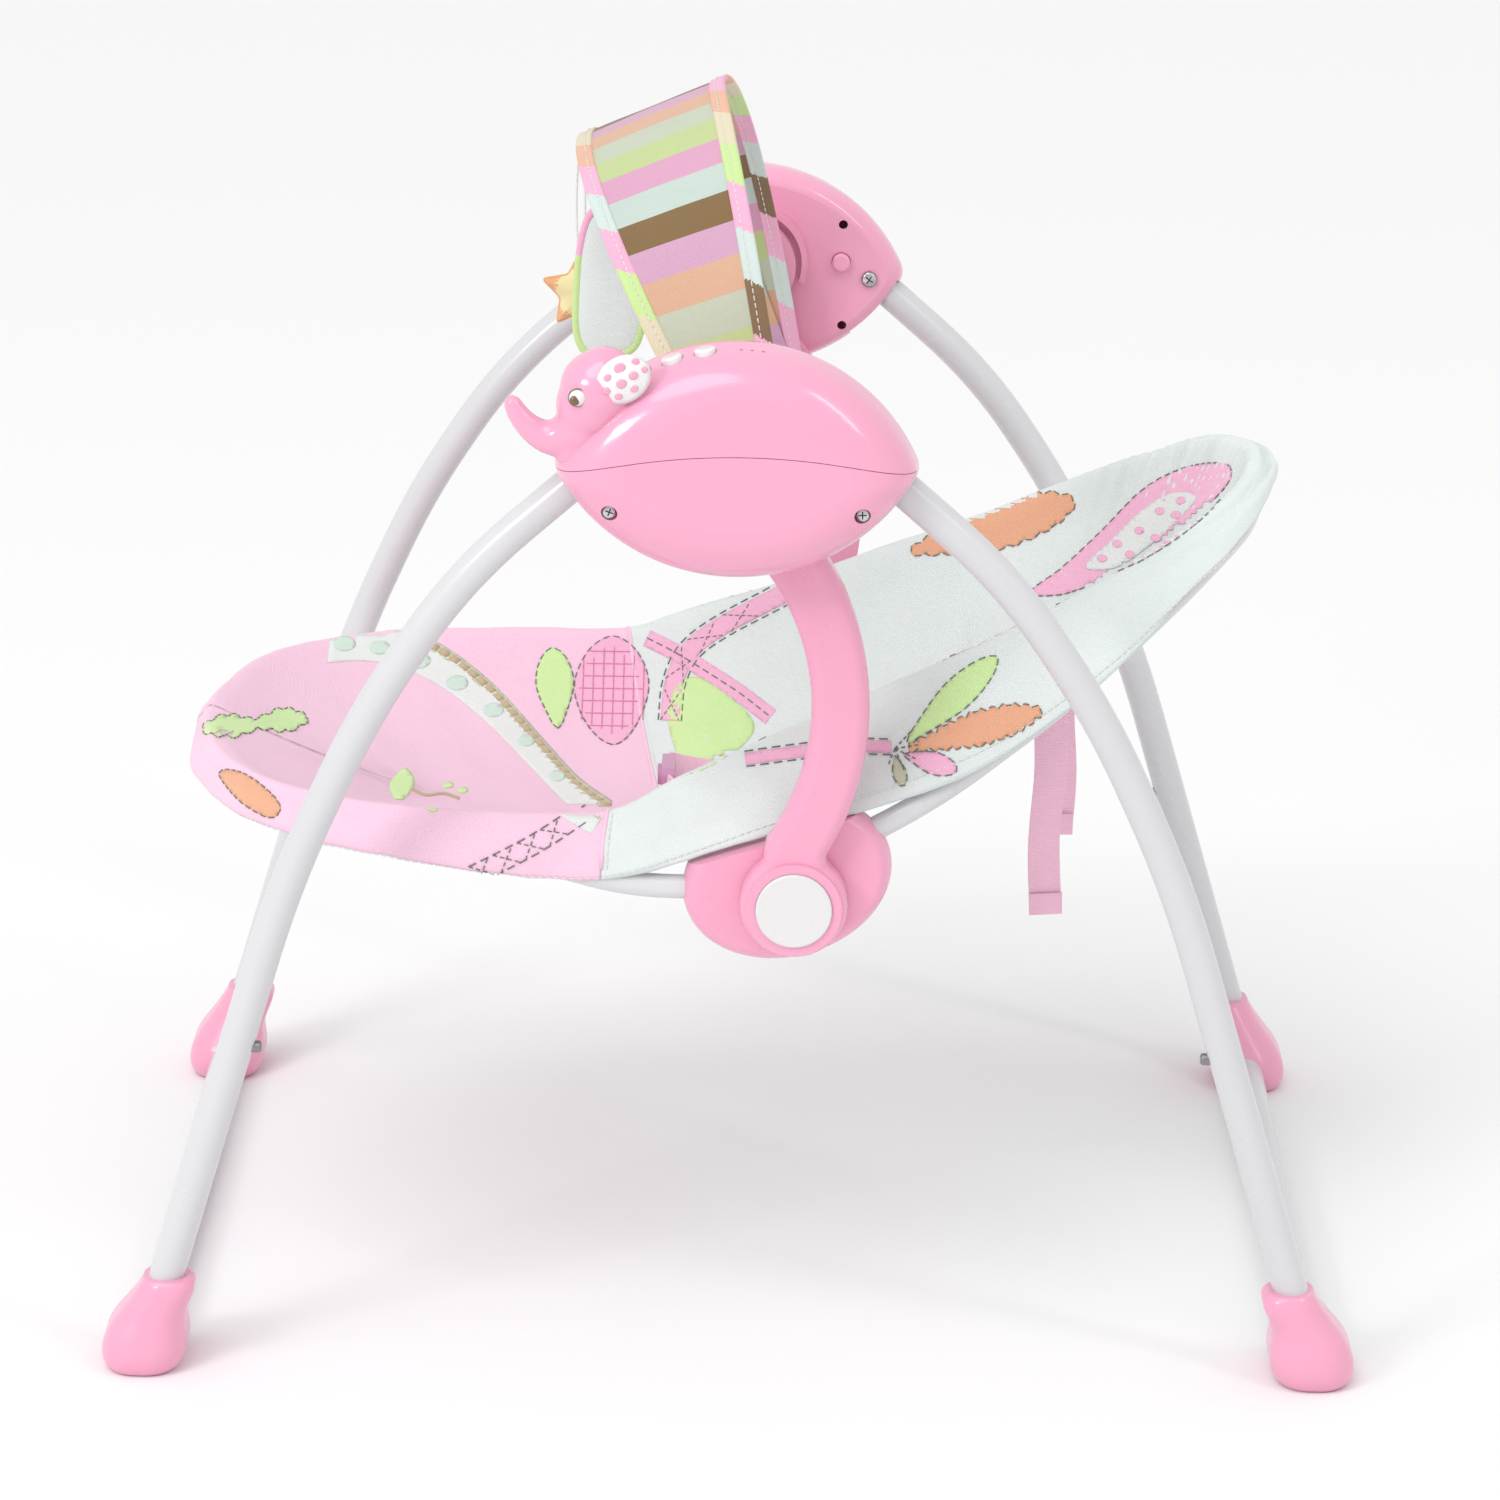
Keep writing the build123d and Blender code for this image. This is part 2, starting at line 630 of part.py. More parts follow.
# ---- recline housings: the rounded pink shells that join the loops to the arms ----
housing_tilt = 18.0
housing_stations = [(184, 56, 42), (188, 60, 46), (204, 60, 46), (209, 57, 43), (211, 52, 38)]
housing_top = [(-60, 286.5), (-27, 296.5), (24, 313), (62, 326), (110, 340)]
with BuildPart() as recline_housing_near:
    for distance, long_r, short_r in housing_stations:
        with BuildSketch(side_plane(distance, -1)):
            with Locations((31.0, 288.0)):
                Ellipse(long_r, short_r, rotation=housing_tilt)
    loft()
    with BuildSketch(side_plane(180.0, -1)):
        with BuildLine():
            Polyline(*housing_top, (110, 400), (-60, 400), close=True)
        make_face()
    extrude(amount=40, mode=Mode.SUBTRACT)
    add(tube_along(foot_loop, foot_radii, seat_tube_r), mode=Mode.SUBTRACT)
    add(tube_along(head_loop, head_radii, seat_tube_r), mode=Mode.SUBTRACT)
    add(disc(-1, recline_x, recline_z, 5.0, 200.0, 214.0), mode=Mode.SUBTRACT)
save(recline_housing_near, "recline_housing_near")

with BuildPart() as recline_housing_far:
    mirror(recline_housing_near.part, about=Plane.XZ)
save(recline_housing_far, "recline_housing_far")

with BuildPart() as recline_pins:
    for side in (-1, 1):
        add(disc(side, recline_x, recline_z, 5.0, 204.5, 217.6))
save(recline_pins, "recline_pins")

# ---- fabric seat: side flaps over the tubes, rims, and a sling that sags between them ----
# Stations along X: rim half width and height, hem half width and height, and the sling's lowest height.
seat_stations = [
    (-329.0, 44.0, 326.0, 46.0, 315.0, 323.5),
    (-303.0, 122.0, 326.0, 129.0, 311.0, 322.0),
    (-276.0, 152.0, 325.0, 160.0, 308.0, 292.0),
    (-200.0, 186.0, 323.0, 195.0, 298.0, 268.0),
    (-120.0, 194.0, 323.0, 202.0, 287.5, 256.0),
    (-70.0, 190.0, 326.0, 203.0, 290.0, 250.0),
    (-30.0, 178.0, 342.0, 203.0, 299.0, 252.0),
    (30.0, 158.0, 364.0, 203.0, 319.0, 268.0),
    (90.0, 146.0, 388.0, 202.0, 337.0, 296.0),
    (150.0, 134.0, 413.0, 188.0, 362.0, 328.0),
    (210.0, 120.0, 443.0, 164.0, 402.0, 366.0),
    (262.0, 102.0, 470.0, 132.0, 444.0, 420.0),
    (290.0, 78.0, 483.0, 100.0, 464.0, 474.0),
    (313.0, 34.0, 493.0, 42.0, 483.0, 490.0),
]


def seat_section(rim_y, rim_z, hem_y, hem_z, low_z):
    """Half of one cross-section, from the hem over the rim to the middle and back underneath."""
    drop = rim_z - low_z
    edge = min(14.0, 0.6 * (rim_z - hem_z))
    over = [(hem_y, hem_z), (rim_y + 2, rim_z), (rim_y - 7, rim_z)]
    inside = [(0.86 * rim_y, rim_z - 0.5 * drop), (0.5 * rim_y, low_z + 0.1 * drop), (0.0, low_z)]
    under = [(0.0, low_z - 5), (0.5 * rim_y, low_z + 0.1 * drop - 5)]
    back = [(0.86 * rim_y + 4, rim_z - 0.5 * drop - 4), (rim_y - 3, rim_z - edge), (hem_y - 5, hem_z)]
    return over + inside, under + back


with BuildPart() as seat_cover:
    for x, *sizes in seat_stations:
        over, under = seat_section(*sizes)
        left = [(-y, z) for y, z in over]
        right = [(y, z) for y, z in reversed(over[:-1])]
        below_right = [(y, z) for y, z in reversed(under[1:])]
        below_left = [(-y, z) for y, z in under]
        with BuildSketch(Plane((x, 0, 0), x_dir=(0, 1, 0), z_dir=(1, 0, 0))):
            with BuildLine():
                Polyline(*left, *right, *below_right, *below_left, close=True)
            make_face()
    loft(ruled=True)
    add(tube_along(foot_loop, foot_radii, seat_tube_r + 0.2), mode=Mode.SUBTRACT)
    add(tube_along(head_loop, head_radii, seat_tube_r + 0.2), mode=Mode.SUBTRACT)
    for side in (-1, 1):
        add(recline_housing_near.part if side < 0 else recline_housing_far.part, mode=Mode.SUBTRACT)
save(seat_cover, "seat_cover")

# ---- harness: crotch strap, buckle and two waist straps ----
buckle_x, buckle_z = -42.0, 286.0
with BuildPart() as crotch_strap:
    with BuildSketch(Plane.XY.offset(258.5)):
        with Locations((buckle_x, 0)):
            Rectangle(2.4, 34.0)
    extrude(amount=19)
save(crotch_strap, "crotch_strap")

with BuildPart() as harness_buckle:
    with BuildSketch(Plane.YZ.offset(buckle_x - 4)):
        with Locations((0, buckle_z)):
            RectangleRounded(38, 17, 5)
    extrude(amount=8)
    with BuildSketch(Plane.YZ.offset(buckle_x - 6.5)):
        with Locations((0, buckle_z)):
            Circle(6.5)
    extrude(amount=3)
save(harness_buckle, "harness_buckle")

waist_start = Vector(buckle_x, 21.5, buckle_z)
waist_end = Vector(18.0, 60.0, 291.0)
for side, side_name in ((-1, "near"), (1, "far")):
    start = Vector(waist_start.X, side * waist_start.Y, waist_start.Z)
    end = Vector(waist_end.X, side * waist_end.Y, waist_end.Z)
    with BuildPart() as waist_strap:
        with BuildSketch(Plane(start, x_dir=(1, 0, 0), z_dir=end - start)):
            Rectangle(2.0, 20.0)
        extrude(amount=(end - start).length)
    save(waist_strap, f"waist_strap_{side_name}")

# ---- loose ends of the back straps, hanging under the sling ----
strap_width = 20.0
for x, y, low_z, top_z, name in (
    (188.0, -38.0, 212.0, 345.0, "strap_tail_near"),
    (199.0, 38.0, 238.0, 350.0, "strap_tail_far"),
):
    with BuildPart() as strap_tail:
        with BuildSketch(Plane.XY.offset(low_z)):
            with Locations((x, y)):
                Rectangle(strap_width, 1.8)
        extrude(amount=top_z - low_z)
        with BuildSketch(Plane.XY.offset(low_z)):
            with Locations((x, y)):
                Rectangle(strap_width + 1.0, 5.0)
        extrude(amount=12.0)
    save(strap_tail, name)
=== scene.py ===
import math

import bmesh
import bpy
import numpy as np
from mathutils import Matrix, Quaternion, Vector, noise
from mathutils.bvhtree import BVHTree
from mathutils.geometry import delaunay_2d_cdt


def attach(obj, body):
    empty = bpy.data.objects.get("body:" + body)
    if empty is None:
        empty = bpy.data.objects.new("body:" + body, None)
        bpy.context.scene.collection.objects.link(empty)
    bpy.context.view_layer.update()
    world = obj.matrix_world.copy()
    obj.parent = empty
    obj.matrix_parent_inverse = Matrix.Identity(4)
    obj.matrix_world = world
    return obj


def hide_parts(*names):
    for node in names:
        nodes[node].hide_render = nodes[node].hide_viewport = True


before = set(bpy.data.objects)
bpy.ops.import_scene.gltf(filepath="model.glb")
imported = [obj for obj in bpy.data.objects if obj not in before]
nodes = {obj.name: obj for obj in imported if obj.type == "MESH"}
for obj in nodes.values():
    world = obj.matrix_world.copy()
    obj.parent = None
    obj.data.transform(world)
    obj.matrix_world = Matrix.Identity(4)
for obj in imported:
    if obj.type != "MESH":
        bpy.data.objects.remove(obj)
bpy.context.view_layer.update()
MM = 0.001
NEAR, FAR = -1, 1
STUDIO_DIM = 0.88
THREAD_WIDTH = 0.0007
RIB_PITCH = 0.0016


# ---------------------------------------------------------------- materials
def colour(red, green, blue):
    """A display colour from 0 to 255 as the linear colour that shaders take, dimmed for the studio."""
    linear = []
    for value in (red, green, blue):
        share = value / 255
        linear.append(STUDIO_DIM * (share / 12.92 if share <= 0.04045 else ((share + 0.055) / 1.055) ** 2.4))
    return (*linear, 1.0)


def shade(base, factor):
    return tuple(channel * factor for channel in base[:3]) + (1.0,)


class Nodes:
    """A material and short ways to add and join its shader nodes."""

    def __init__(self, name):
        self.material = bpy.data.materials.new(name)
        self.material.use_nodes = True
        self.tree = self.material.node_tree
        self.shader = self.tree.nodes["Principled BSDF"]
        self.place = self.add("ShaderNodeTexCoord").outputs["Object"]

    def add(self, kind, **inputs):
        node = self.tree.nodes.new(kind)
        for name, value in inputs.items():
            node.inputs[name.replace("_", " ")].default_value = value
        return node

    def join(self, start, end):
        self.tree.links.new(start, end)

    def noise(self, scale, detail=2.0, place=None):
        node = self.add("ShaderNodeTexNoise", Scale=scale, Detail=detail)
        self.join(place or self.place, node.inputs["Vector"])
        return node.outputs["Fac"]

    def mix(self, share, first, second):
        """A colour between two colours, by a share from another node."""
        node = self.tree.nodes.new("ShaderNodeMix")
        node.data_type = "RGBA"
        node.inputs["A"].default_value = first
        node.inputs["B"].default_value = second
        self.join(share, node.inputs["Factor"])
        return node.outputs["Result"]

    def math(self, operation, first, second):
        node = self.tree.nodes.new("ShaderNodeMath")
        node.operation = operation
        for socket, value in zip(node.inputs, (first, second)):
            if isinstance(value, (int, float)):
                socket.default_value = value
            else:
                self.join(value, socket)
        return node.outputs[0]

    def span(self, value, low, high, new_low, new_high):
        node = self.add("ShaderNodeMapRange", From_Min=low, From_Max=high, To_Min=new_low, To_Max=new_high)
        self.join(value, node.inputs["Value"])
        return node.outputs["Result"]

    def bump(self, height, distance):
        node = self.add("ShaderNodeBump", Strength=1.0, Distance=distance)
        self.join(height, node.inputs["Height"])
        self.join(node.outputs["Normal"], self.shader.inputs["Normal"])

    def tone(self, share, base, low, high):
        """A base colour that drifts between two strengths."""
        self.join(self.mix(share, shade(base, low), shade(base, high)), self.shader.inputs["Base Color"])

    def wear(self, scale, low, high):
        """A roughness that drifts between two values."""
        self.join(self.span(self.noise(scale), 0.3, 0.7, low, high), self.shader.inputs["Roughness"])

    def set(self, **values):
        for name, value in values.items():
            self.shader.inputs[name.replace("_", " ")].default_value = value

    def cloth_axes(self):
        """The cloth coordinates, and each of them on its own."""
        place = self.add("ShaderNodeUVMap").outputs["UV"]
        split = self.add("ShaderNodeSeparateXYZ")
        self.join(place, split.inputs["Vector"])
        return place, split.outputs["X"], split.outputs["Y"]

    def wave(self, value, turns):
        return self.math("SINE", self.math("MULTIPLY", value, turns), 0.0)


def plastic(name, base, roughness, coat):
    """Moulded plastic: a slow change of tone, a faint moulded texture and a clear top gloss."""
    made = Nodes(name)
    made.tone(made.noise(9.0, 3.0), base, 0.965, 1.02)
    made.wear(60.0, roughness - 0.04, roughness + 0.05)
    made.set(Coat_Weight=coat, Coat_Roughness=0.12)
    made.set(Subsurface_Weight=0.08, Subsurface_Radius=(0.006, 0.004, 0.004))
    made.bump(made.noise(900.0, 3.0), 0.00002)
    return made.material


def paint(name, base):
    """Powder coat on steel tube: a fine orange peel and a soft gloss."""
    made = Nodes(name)
    made.tone(made.noise(14.0), base, 0.97, 1.02)
    made.wear(40.0, 0.26, 0.33)
    made.set(Coat_Weight=0.4, Coat_Roughness=0.15)
    made.bump(made.noise(500.0, 2.0), 0.000012)
    return made.material


def steel(name, base, roughness):
    """Plated or turned metal with fine brushed streaks."""
    made = Nodes(name)
    made.set(Metallic=1.0)
    made.tone(made.noise(400.0, 4.0), base, 0.8, 1.1)
    made.wear(900.0, roughness - 0.08, roughness + 0.1)
    made.bump(made.noise(1500.0, 2.0), 0.00003)
    return made.material


def cloth(name, base):
    """Plain woven cloth: warp and weft threads from two crossing waves, with slubs and a soft sheen."""
    made = Nodes(name)
    place, across, along = made.cloth_axes()
    turns = math.pi / THREAD_WIDTH
    weave = made.math("MULTIPLY", made.wave(across, turns), made.wave(along, turns))
    height = made.math("ADD", weave, made.math("MULTIPLY", made.noise(220.0, 3.0, place), 1.6))
    share = made.math("ADD", made.math("MULTIPLY", weave, 0.12), made.noise(26.0, 4.0))
    made.tone(share, base, 0.96, 1.04)
    made.set(Roughness=0.82, Sheen_Weight=0.25, Sheen_Roughness=0.5)
    made.bump(height, 0.00012)
    return made.material


def thread(name, base):
    """Sewing thread: twisted strands and a slight shine."""
    made = Nodes(name)
    made.tone(made.noise(500.0), base, 0.85, 1.1)
    made.set(Roughness=0.6, Sheen_Weight=0.3)
    made.bump(made.noise(1800.0, 2.0), 0.0001)
    return made.material


def ribbed(name, base):
    """Webbing: ribs across the strap, with a finer rib along it."""
    made = Nodes(name)
    place, along, across = made.cloth_axes()
    ribs = made.wave(along, 2 * math.pi / RIB_PITCH)
    cross = made.wave(across, 2 * math.pi / (0.8 * RIB_PITCH))
    height = made.math("ADD", ribs, made.math("MULTIPLY", cross, 0.5))
    share = made.math("ADD", made.math("MULTIPLY", ribs, 0.25), made.noise(60.0, 3.0, place))
    made.tone(share, base, 0.95, 1.05)
    made.set(Roughness=0.75, Sheen_Weight=0.25)
    made.bump(height, 0.00008)
    return made.material


PINK = colour(250, 172, 203)
hub_pink = plastic("hub_plastic", PINK, 0.2, 0.6)
arm_pink = plastic("arm_plastic", PINK, 0.3, 0.35)
foot_pink = plastic("foot_plastic", colour(248, 170, 200), 0.32, 0.3)
white_plastic = plastic("white_plastic", colour(234, 232, 232), 0.3, 0.4)
button_white = plastic("button_plastic", colour(246, 244, 243), 0.22, 0.5)
nylon = plastic("nylon", colour(206, 205, 200), 0.5, 0.0)
leg_paint = paint("leg_paint", colour(219, 219, 222))
seat_tube_paint = paint("seat_tube_paint", colour(222, 223, 226))
zinc = steel("zinc", (0.30, 0.29, 0.31, 1), 0.36)
shaft_steel = steel("shaft_steel", (0.62, 0.62, 0.64, 1), 0.25)
board_green = plastic("board_green", (0.02, 0.16, 0.06, 1), 0.4, 0.2)
black_plastic = plastic("black_plastic", (0.02, 0.02, 0.022, 1), 0.5, 0.0)
copper = steel("copper", (0.75, 0.36, 0.2, 1), 0.35)
dark_plastic = plastic("dark_plastic", (0.09, 0.09, 0.1, 1), 0.45, 0.1)
cell_metal = steel("cell_metal", (0.5, 0.51, 0.54, 1), 0.28)
eye_brown = plastic("eye_brown", colour(120, 92, 58), 0.2, 0.6)
mauve = plastic("mauve_plastic", colour(206, 150, 186), 0.35, 0.2)

mint_cloth = cloth("mint_cloth", colour(233, 242, 240))
pink_cloth = cloth("pink_cloth", colour(255, 211, 234))
print_colours = {
    "lime": (214, 246, 172),
    "orange": (240, 178, 142),
    "rose": (252, 190, 220),
    "beige": (206, 208, 182),
    "white": (236, 241, 238),
    "mint": (214, 234, 222),
    "tan": (200, 178, 140),
    "pale": (232, 240, 238),
}
prints = {name: cloth(f"print_{name}", colour(*base)) for name, base in print_colours.items()}
stitch_grey = thread("stitch_grey", colour(112, 120, 108))
stitch_white = thread("stitch_white", colour(244, 244, 240))
check_rose = thread("check_rose", colour(238, 140, 186))
webbing = ribbed("webbing", colour(254, 200, 224))

node_materials = {
    hub_pink: ("hub_", "fold_release_"),
    arm_pink: ("swing_arm_", "recline_housing_"),
    foot_pink: ("front_feet", "rear_feet"),
    leg_paint: ("front_floor_tube", "rear_floor_tube", "front_leg_", "rear_leg_"),
    seat_tube_paint: ("seat_frame_",),
    white_plastic: ("recline_button_",),
    button_white: ("power_button", "speed_button", "music_button"),
    nylon: ("front_knuckles", "rear_knuckles", "swing_bushes", "canopy_clips", "canopy_strip"),
    zinc: ("snap_button_", "battery_cover_screws", "front_pivot_screws", "rear_pivot_screws", "pivot_nuts"),
    shaft_steel: ("swing_shafts", "recline_pins"),
    board_green: ("circuit_board",),
    black_plastic: ("speaker",),
    copper: ("drive_coil",),
    dark_plastic: ("battery_tray", "magnet_lever"),
    cell_metal: ("batteries",),
    mauve: ("harness_buckle",),
}
for material, starts in node_materials.items():
    for name, node in nodes.items():
        if name.startswith(starts):
            node.data.materials.clear()
            node.data.materials.append(material)


# ---------------------------------------------------------------- mesh helpers
def new_piece(name, points, faces, materials, indices=None, uvs=None):
    """A smooth-shaded mesh object from plain lists; uvs holds one pair for each point."""
    mesh = bpy.data.meshes.new(name)
    mesh.from_pydata([tuple(p) for p in points], [], [tuple(f) for f in faces])
    for material in materials:
        mesh.materials.append(material)
    if indices is not None:
        mesh.polygons.foreach_set("material_index", indices)
    if uvs is not None:
        layer = mesh.uv_layers.new(name="UVMap")
        corner = np.zeros(len(mesh.loops), int)
        mesh.loops.foreach_get("vertex_index", corner)
        layer.data.foreach_set("uv", np.asarray(uvs, float)[corner].ravel())
    mesh.shade_smooth()
    return add_object(name, mesh)


def add_object(name, data):
    """A new object in the scene."""
    piece = bpy.data.objects.new(name, data)
    bpy.context.scene.collection.objects.link(piece)
    return piece


def set_normals(piece, faces_wrong=None):
    """Turns every face outwards; an open sheet is turned over if the test says that its faces are wrong."""
    made = bmesh.new()
    made.from_mesh(piece.data)
    bmesh.ops.recalc_face_normals(made, faces=made.faces)
    if faces_wrong and faces_wrong(made.faces):
        bmesh.ops.reverse_faces(made, faces=made.faces)
    made.to_mesh(piece.data)
    made.free()
    return piece


def apply_modifiers(piece):
    """Bakes a piece's modifiers into its mesh."""
    bpy.context.view_layer.update()
    seen = piece.evaluated_get(bpy.context.evaluated_depsgraph_get())
    mesh = bpy.data.meshes.new_from_object(seen)
    piece.modifiers.clear()
    piece.data = mesh
    return piece


def thicken(piece, thickness, offset=-1.0):
    """Gives an open sheet a thickness, as closed cloth."""
    modifier = piece.modifiers.new("thickness", "SOLIDIFY")
    modifier.thickness = thickness
    modifier.offset = offset
    modifier.use_even_offset = False
    return apply_modifiers(piece)


def distances(line):
    """How far along a line each of its points is."""
    return np.concatenate([[0], np.cumsum(np.linalg.norm(np.diff(line, axis=0), axis=1))])


def point_at(distance, far, line):
    return np.array([np.interp(distance, far, line[:, k]) for k in range(3)])


def smooth_line(points, count, closed=False):
    """A smooth line through a few points of any dimension, with count evenly spaced points."""
    rows = [np.array(p, float) for p in points]
    if closed:
        rows = [rows[-1], *rows, rows[0], rows[1]]
    else:
        rows = [2 * rows[0] - rows[1], *rows, 2 * rows[-1] - rows[-2]]
    dense = []
    for a, b, c, d in zip(rows, rows[1:], rows[2:], rows[3:]):
        square, cube = 2 * a - 5 * b + 4 * c - d, 3 * b - a - 3 * c + d
        for t in np.linspace(0, 1, 24, endpoint=False):
            dense.append(0.5 * (2 * b + (c - a) * t + square * t**2 + cube * t**3))
    dense.append(rows[-2])
    return even_line(np.array(dense), count, closed)


def even_line(line, count, closed=False):
    """The same line with count evenly spaced points; its first three columns set the spacing."""
    line = np.asarray(line, float)
    far = distances(line[:, :3])
    wanted = np.linspace(0, far[-1], count + (1 if closed else 0))[:count]
    return np.stack([np.interp(wanted, far, line[:, k]) for k in range(line.shape[1])], axis=1)


def grid_faces(rows, columns, wrap=False):
    """Faces of a grid of points stored row by row; wrap joins the last row to the first."""
    faces = []
    for i in range(rows if wrap else rows - 1):
        for j in range(columns - 1):
            a = i * columns + j
            b = ((i + 1) % rows) * columns + j
            faces.append((a, a + 1, b + 1, b))
    return faces


def grid_uvs(points, rows, columns):
    """Cloth coordinates in metres over a grid, from the lengths along its rows and columns."""
    grid = np.asarray(points, float).reshape(rows, columns, 3)
    along = np.zeros((rows, columns))
    along[1:] = np.cumsum(np.linalg.norm(np.diff(grid, axis=0), axis=2), axis=0)
    over = np.zeros((rows, columns))
    over[:, 1:] = np.cumsum(np.linalg.norm(np.diff(grid, axis=1), axis=2), axis=1)
    middle = along.mean(axis=1, keepdims=True)
    return np.stack([np.broadcast_to(middle, over.shape), over], axis=2).reshape(-1, 2)


def sweep(line, outline, up_hints):
    """Points of an outline carried along a line. up_hints gives the outline's second axis at each point."""
    line = np.asarray(line, float)
    tangents = np.gradient(line, axis=0)
    rings = []
    for point, tangent, hint in zip(line, tangents, up_hints):
        tangent = tangent / np.linalg.norm(tangent)
        side = np.cross(tangent, hint)
        side /= np.linalg.norm(side)
        rise = np.cross(side, tangent)
        rings.append([point + side * a + rise * b for a, b in outline])
    return np.array(rings)


def ring_faces(rings, around):
    """Faces between rings of points, each ring given by its place in the list of points."""
    faces = []
    for a, b in zip(rings, rings[1:]):
        for j in range(around):
            k = (j + 1) % around
            faces.append((a * around + j, a * around + k, b * around + k, b * around + j))
    return faces


def tube_mesh(name, rings, materials, indices=None):
    """A closed solid from rings of points, capped at both ends."""
    count, around = rings.shape[:2]
    points = rings.reshape(-1, 3)
    faces = ring_faces(range(count), around)
    faces.append(tuple(range(around))[::-1])
    faces.append(tuple((count - 1) * around + j for j in range(around)))
    if indices is not None:
        indices = [v for v in indices for _ in range(around)] + [indices[0], indices[-1]]
    width = np.linalg.norm(rings[0] - rings[0, 0], axis=1)
    uvs = [(a, b) for a in distances(rings.mean(axis=1)) for b in width]
    return set_normals(new_piece(name, points, faces, materials, indices, uvs))


def rounded_bar(half_width, half_height, corner, steps):
    """The outline of a flat bar with round corners."""
    outline = []
    flat_x, flat_y = half_width - corner, half_height - corner
    for turn, (sx, sy) in enumerate(((1, 1), (-1, 1), (-1, -1), (1, -1))):
        for step in range(steps + 1):
            angle = math.pi / 2 * (turn + step / steps)
            outline.append((sx * flat_x + corner * math.cos(angle), sy * flat_y + corner * math.sin(angle)))
    return outline


def full_turn(steps):
    return np.linspace(0, 2 * math.pi, steps, endpoint=False)


def round_bar(radius):
    """The outline of a cord, its radius in millimetres."""
    return [(radius * MM * math.cos(t), radius * MM * math.sin(t)) for t in full_turn(8)]


def join_pieces(name, pieces):
    """One object from several, keeping each one's materials."""
    materials = []
    points, faces, indices, uvs = [], [], [], []
    for piece in pieces:
        mesh = piece.data
        start = len(points)
        points += [tuple(v.co) for v in mesh.vertices]
        slots = []
        for material in mesh.materials:
            if material not in materials:
                materials.append(material)
            slots.append(materials.index(material))
        layer = mesh.uv_layers.active
        for polygon in mesh.polygons:
            faces.append([start + v for v in polygon.vertices])
            indices.append(slots[polygon.material_index])
            uvs += [tuple(layer.data[k].uv) if layer else (0, 0) for k in polygon.loop_indices]
        bpy.data.objects.remove(piece)
    joined = new_piece(name, points, faces, materials, indices)
    layer = joined.data.uv_layers.new(name="UVMap")
    layer.data.foreach_set("uv", np.array(uvs, float).ravel())
    return joined


# ---------------------------------------------------------------- fabric seat
# Half of the seat's outline from the foot tip to the head tip, in millimetres:
# rim X, half width and height, then hem X, half width and height.
seat_outline = [
    (-322, 0, 326, -330, 0, 304),
    (-317, 52, 326, -326, 57, 304),
    (-300, 103, 326, -309, 112, 305),
    (-268, 147, 325, -275, 159, 304),
    (-215, 176, 324, -218, 190, 299),
    (-150, 189, 323, -150, 200, 291),
    (-100, 191, 323, -100, 203, 287),
    (-66, 189, 326, -68, 204, 289),
    (-30, 178, 342, -30, 204, 299),
    (30, 161, 366, 30, 204, 319),
    (90, 152, 392, 91, 202, 336),
    (150, 140, 417, 152, 190, 360),
    (210, 125, 446, 214, 166, 402),
    (255, 103, 468, 261, 134, 443),
    (287, 76, 484, 296, 95, 468),
    (306, 37, 492, 315, 46, 484),
    (311, 0, 494, 321, 0, 487),
]
# The sling's lowest height along the middle.
sling_x = np.array([-340, -276, -200, -120, -70, -30, 30, 90, 150, 210, 262, 330]) * MM
sling_z = np.array([321, 300, 276, 258, 250, 252, 268, 296, 328, 367, 410, 470]) * MM
sling_x_fine = np.linspace(sling_x[0], sling_x[-1], 200)
sling_z_padded = np.pad(np.interp(sling_x_fine, sling_x, sling_z), 8, mode="edge")
sling_z_fine = np.convolve(sling_z_padded, np.ones(17) / 17, "valid")
COLUMNS = 520
EDGE_ROWS = 34
BOWL_ROWS = 44
MIDDLE_X = -8
GATHER_PITCH = 8.5
CLOTH_THICKNESS = 2.2


def sling_height(x):
    return np.interp(x, sling_x_fine, sling_z_fine)


def seat_columns():
    """The rim and hem curves right round the seat, as matching rows of six values."""
    near = [(x, -y, z, hx, -hy, hz) for x, y, z, hx, hy, hz in seat_outline]
    far = [(x, y, z, hx, hy, hz) for x, y, z, hx, hy, hz in seat_outline[-2:0:-1]]
    return smooth_line(np.array(near + far) * MM, COLUMNS, closed=True)


def soft_fold(a, b, seed):
    """Smooth noise for folds, about -1 to 1."""
    return noise.noise(Vector((a, b, seed)))


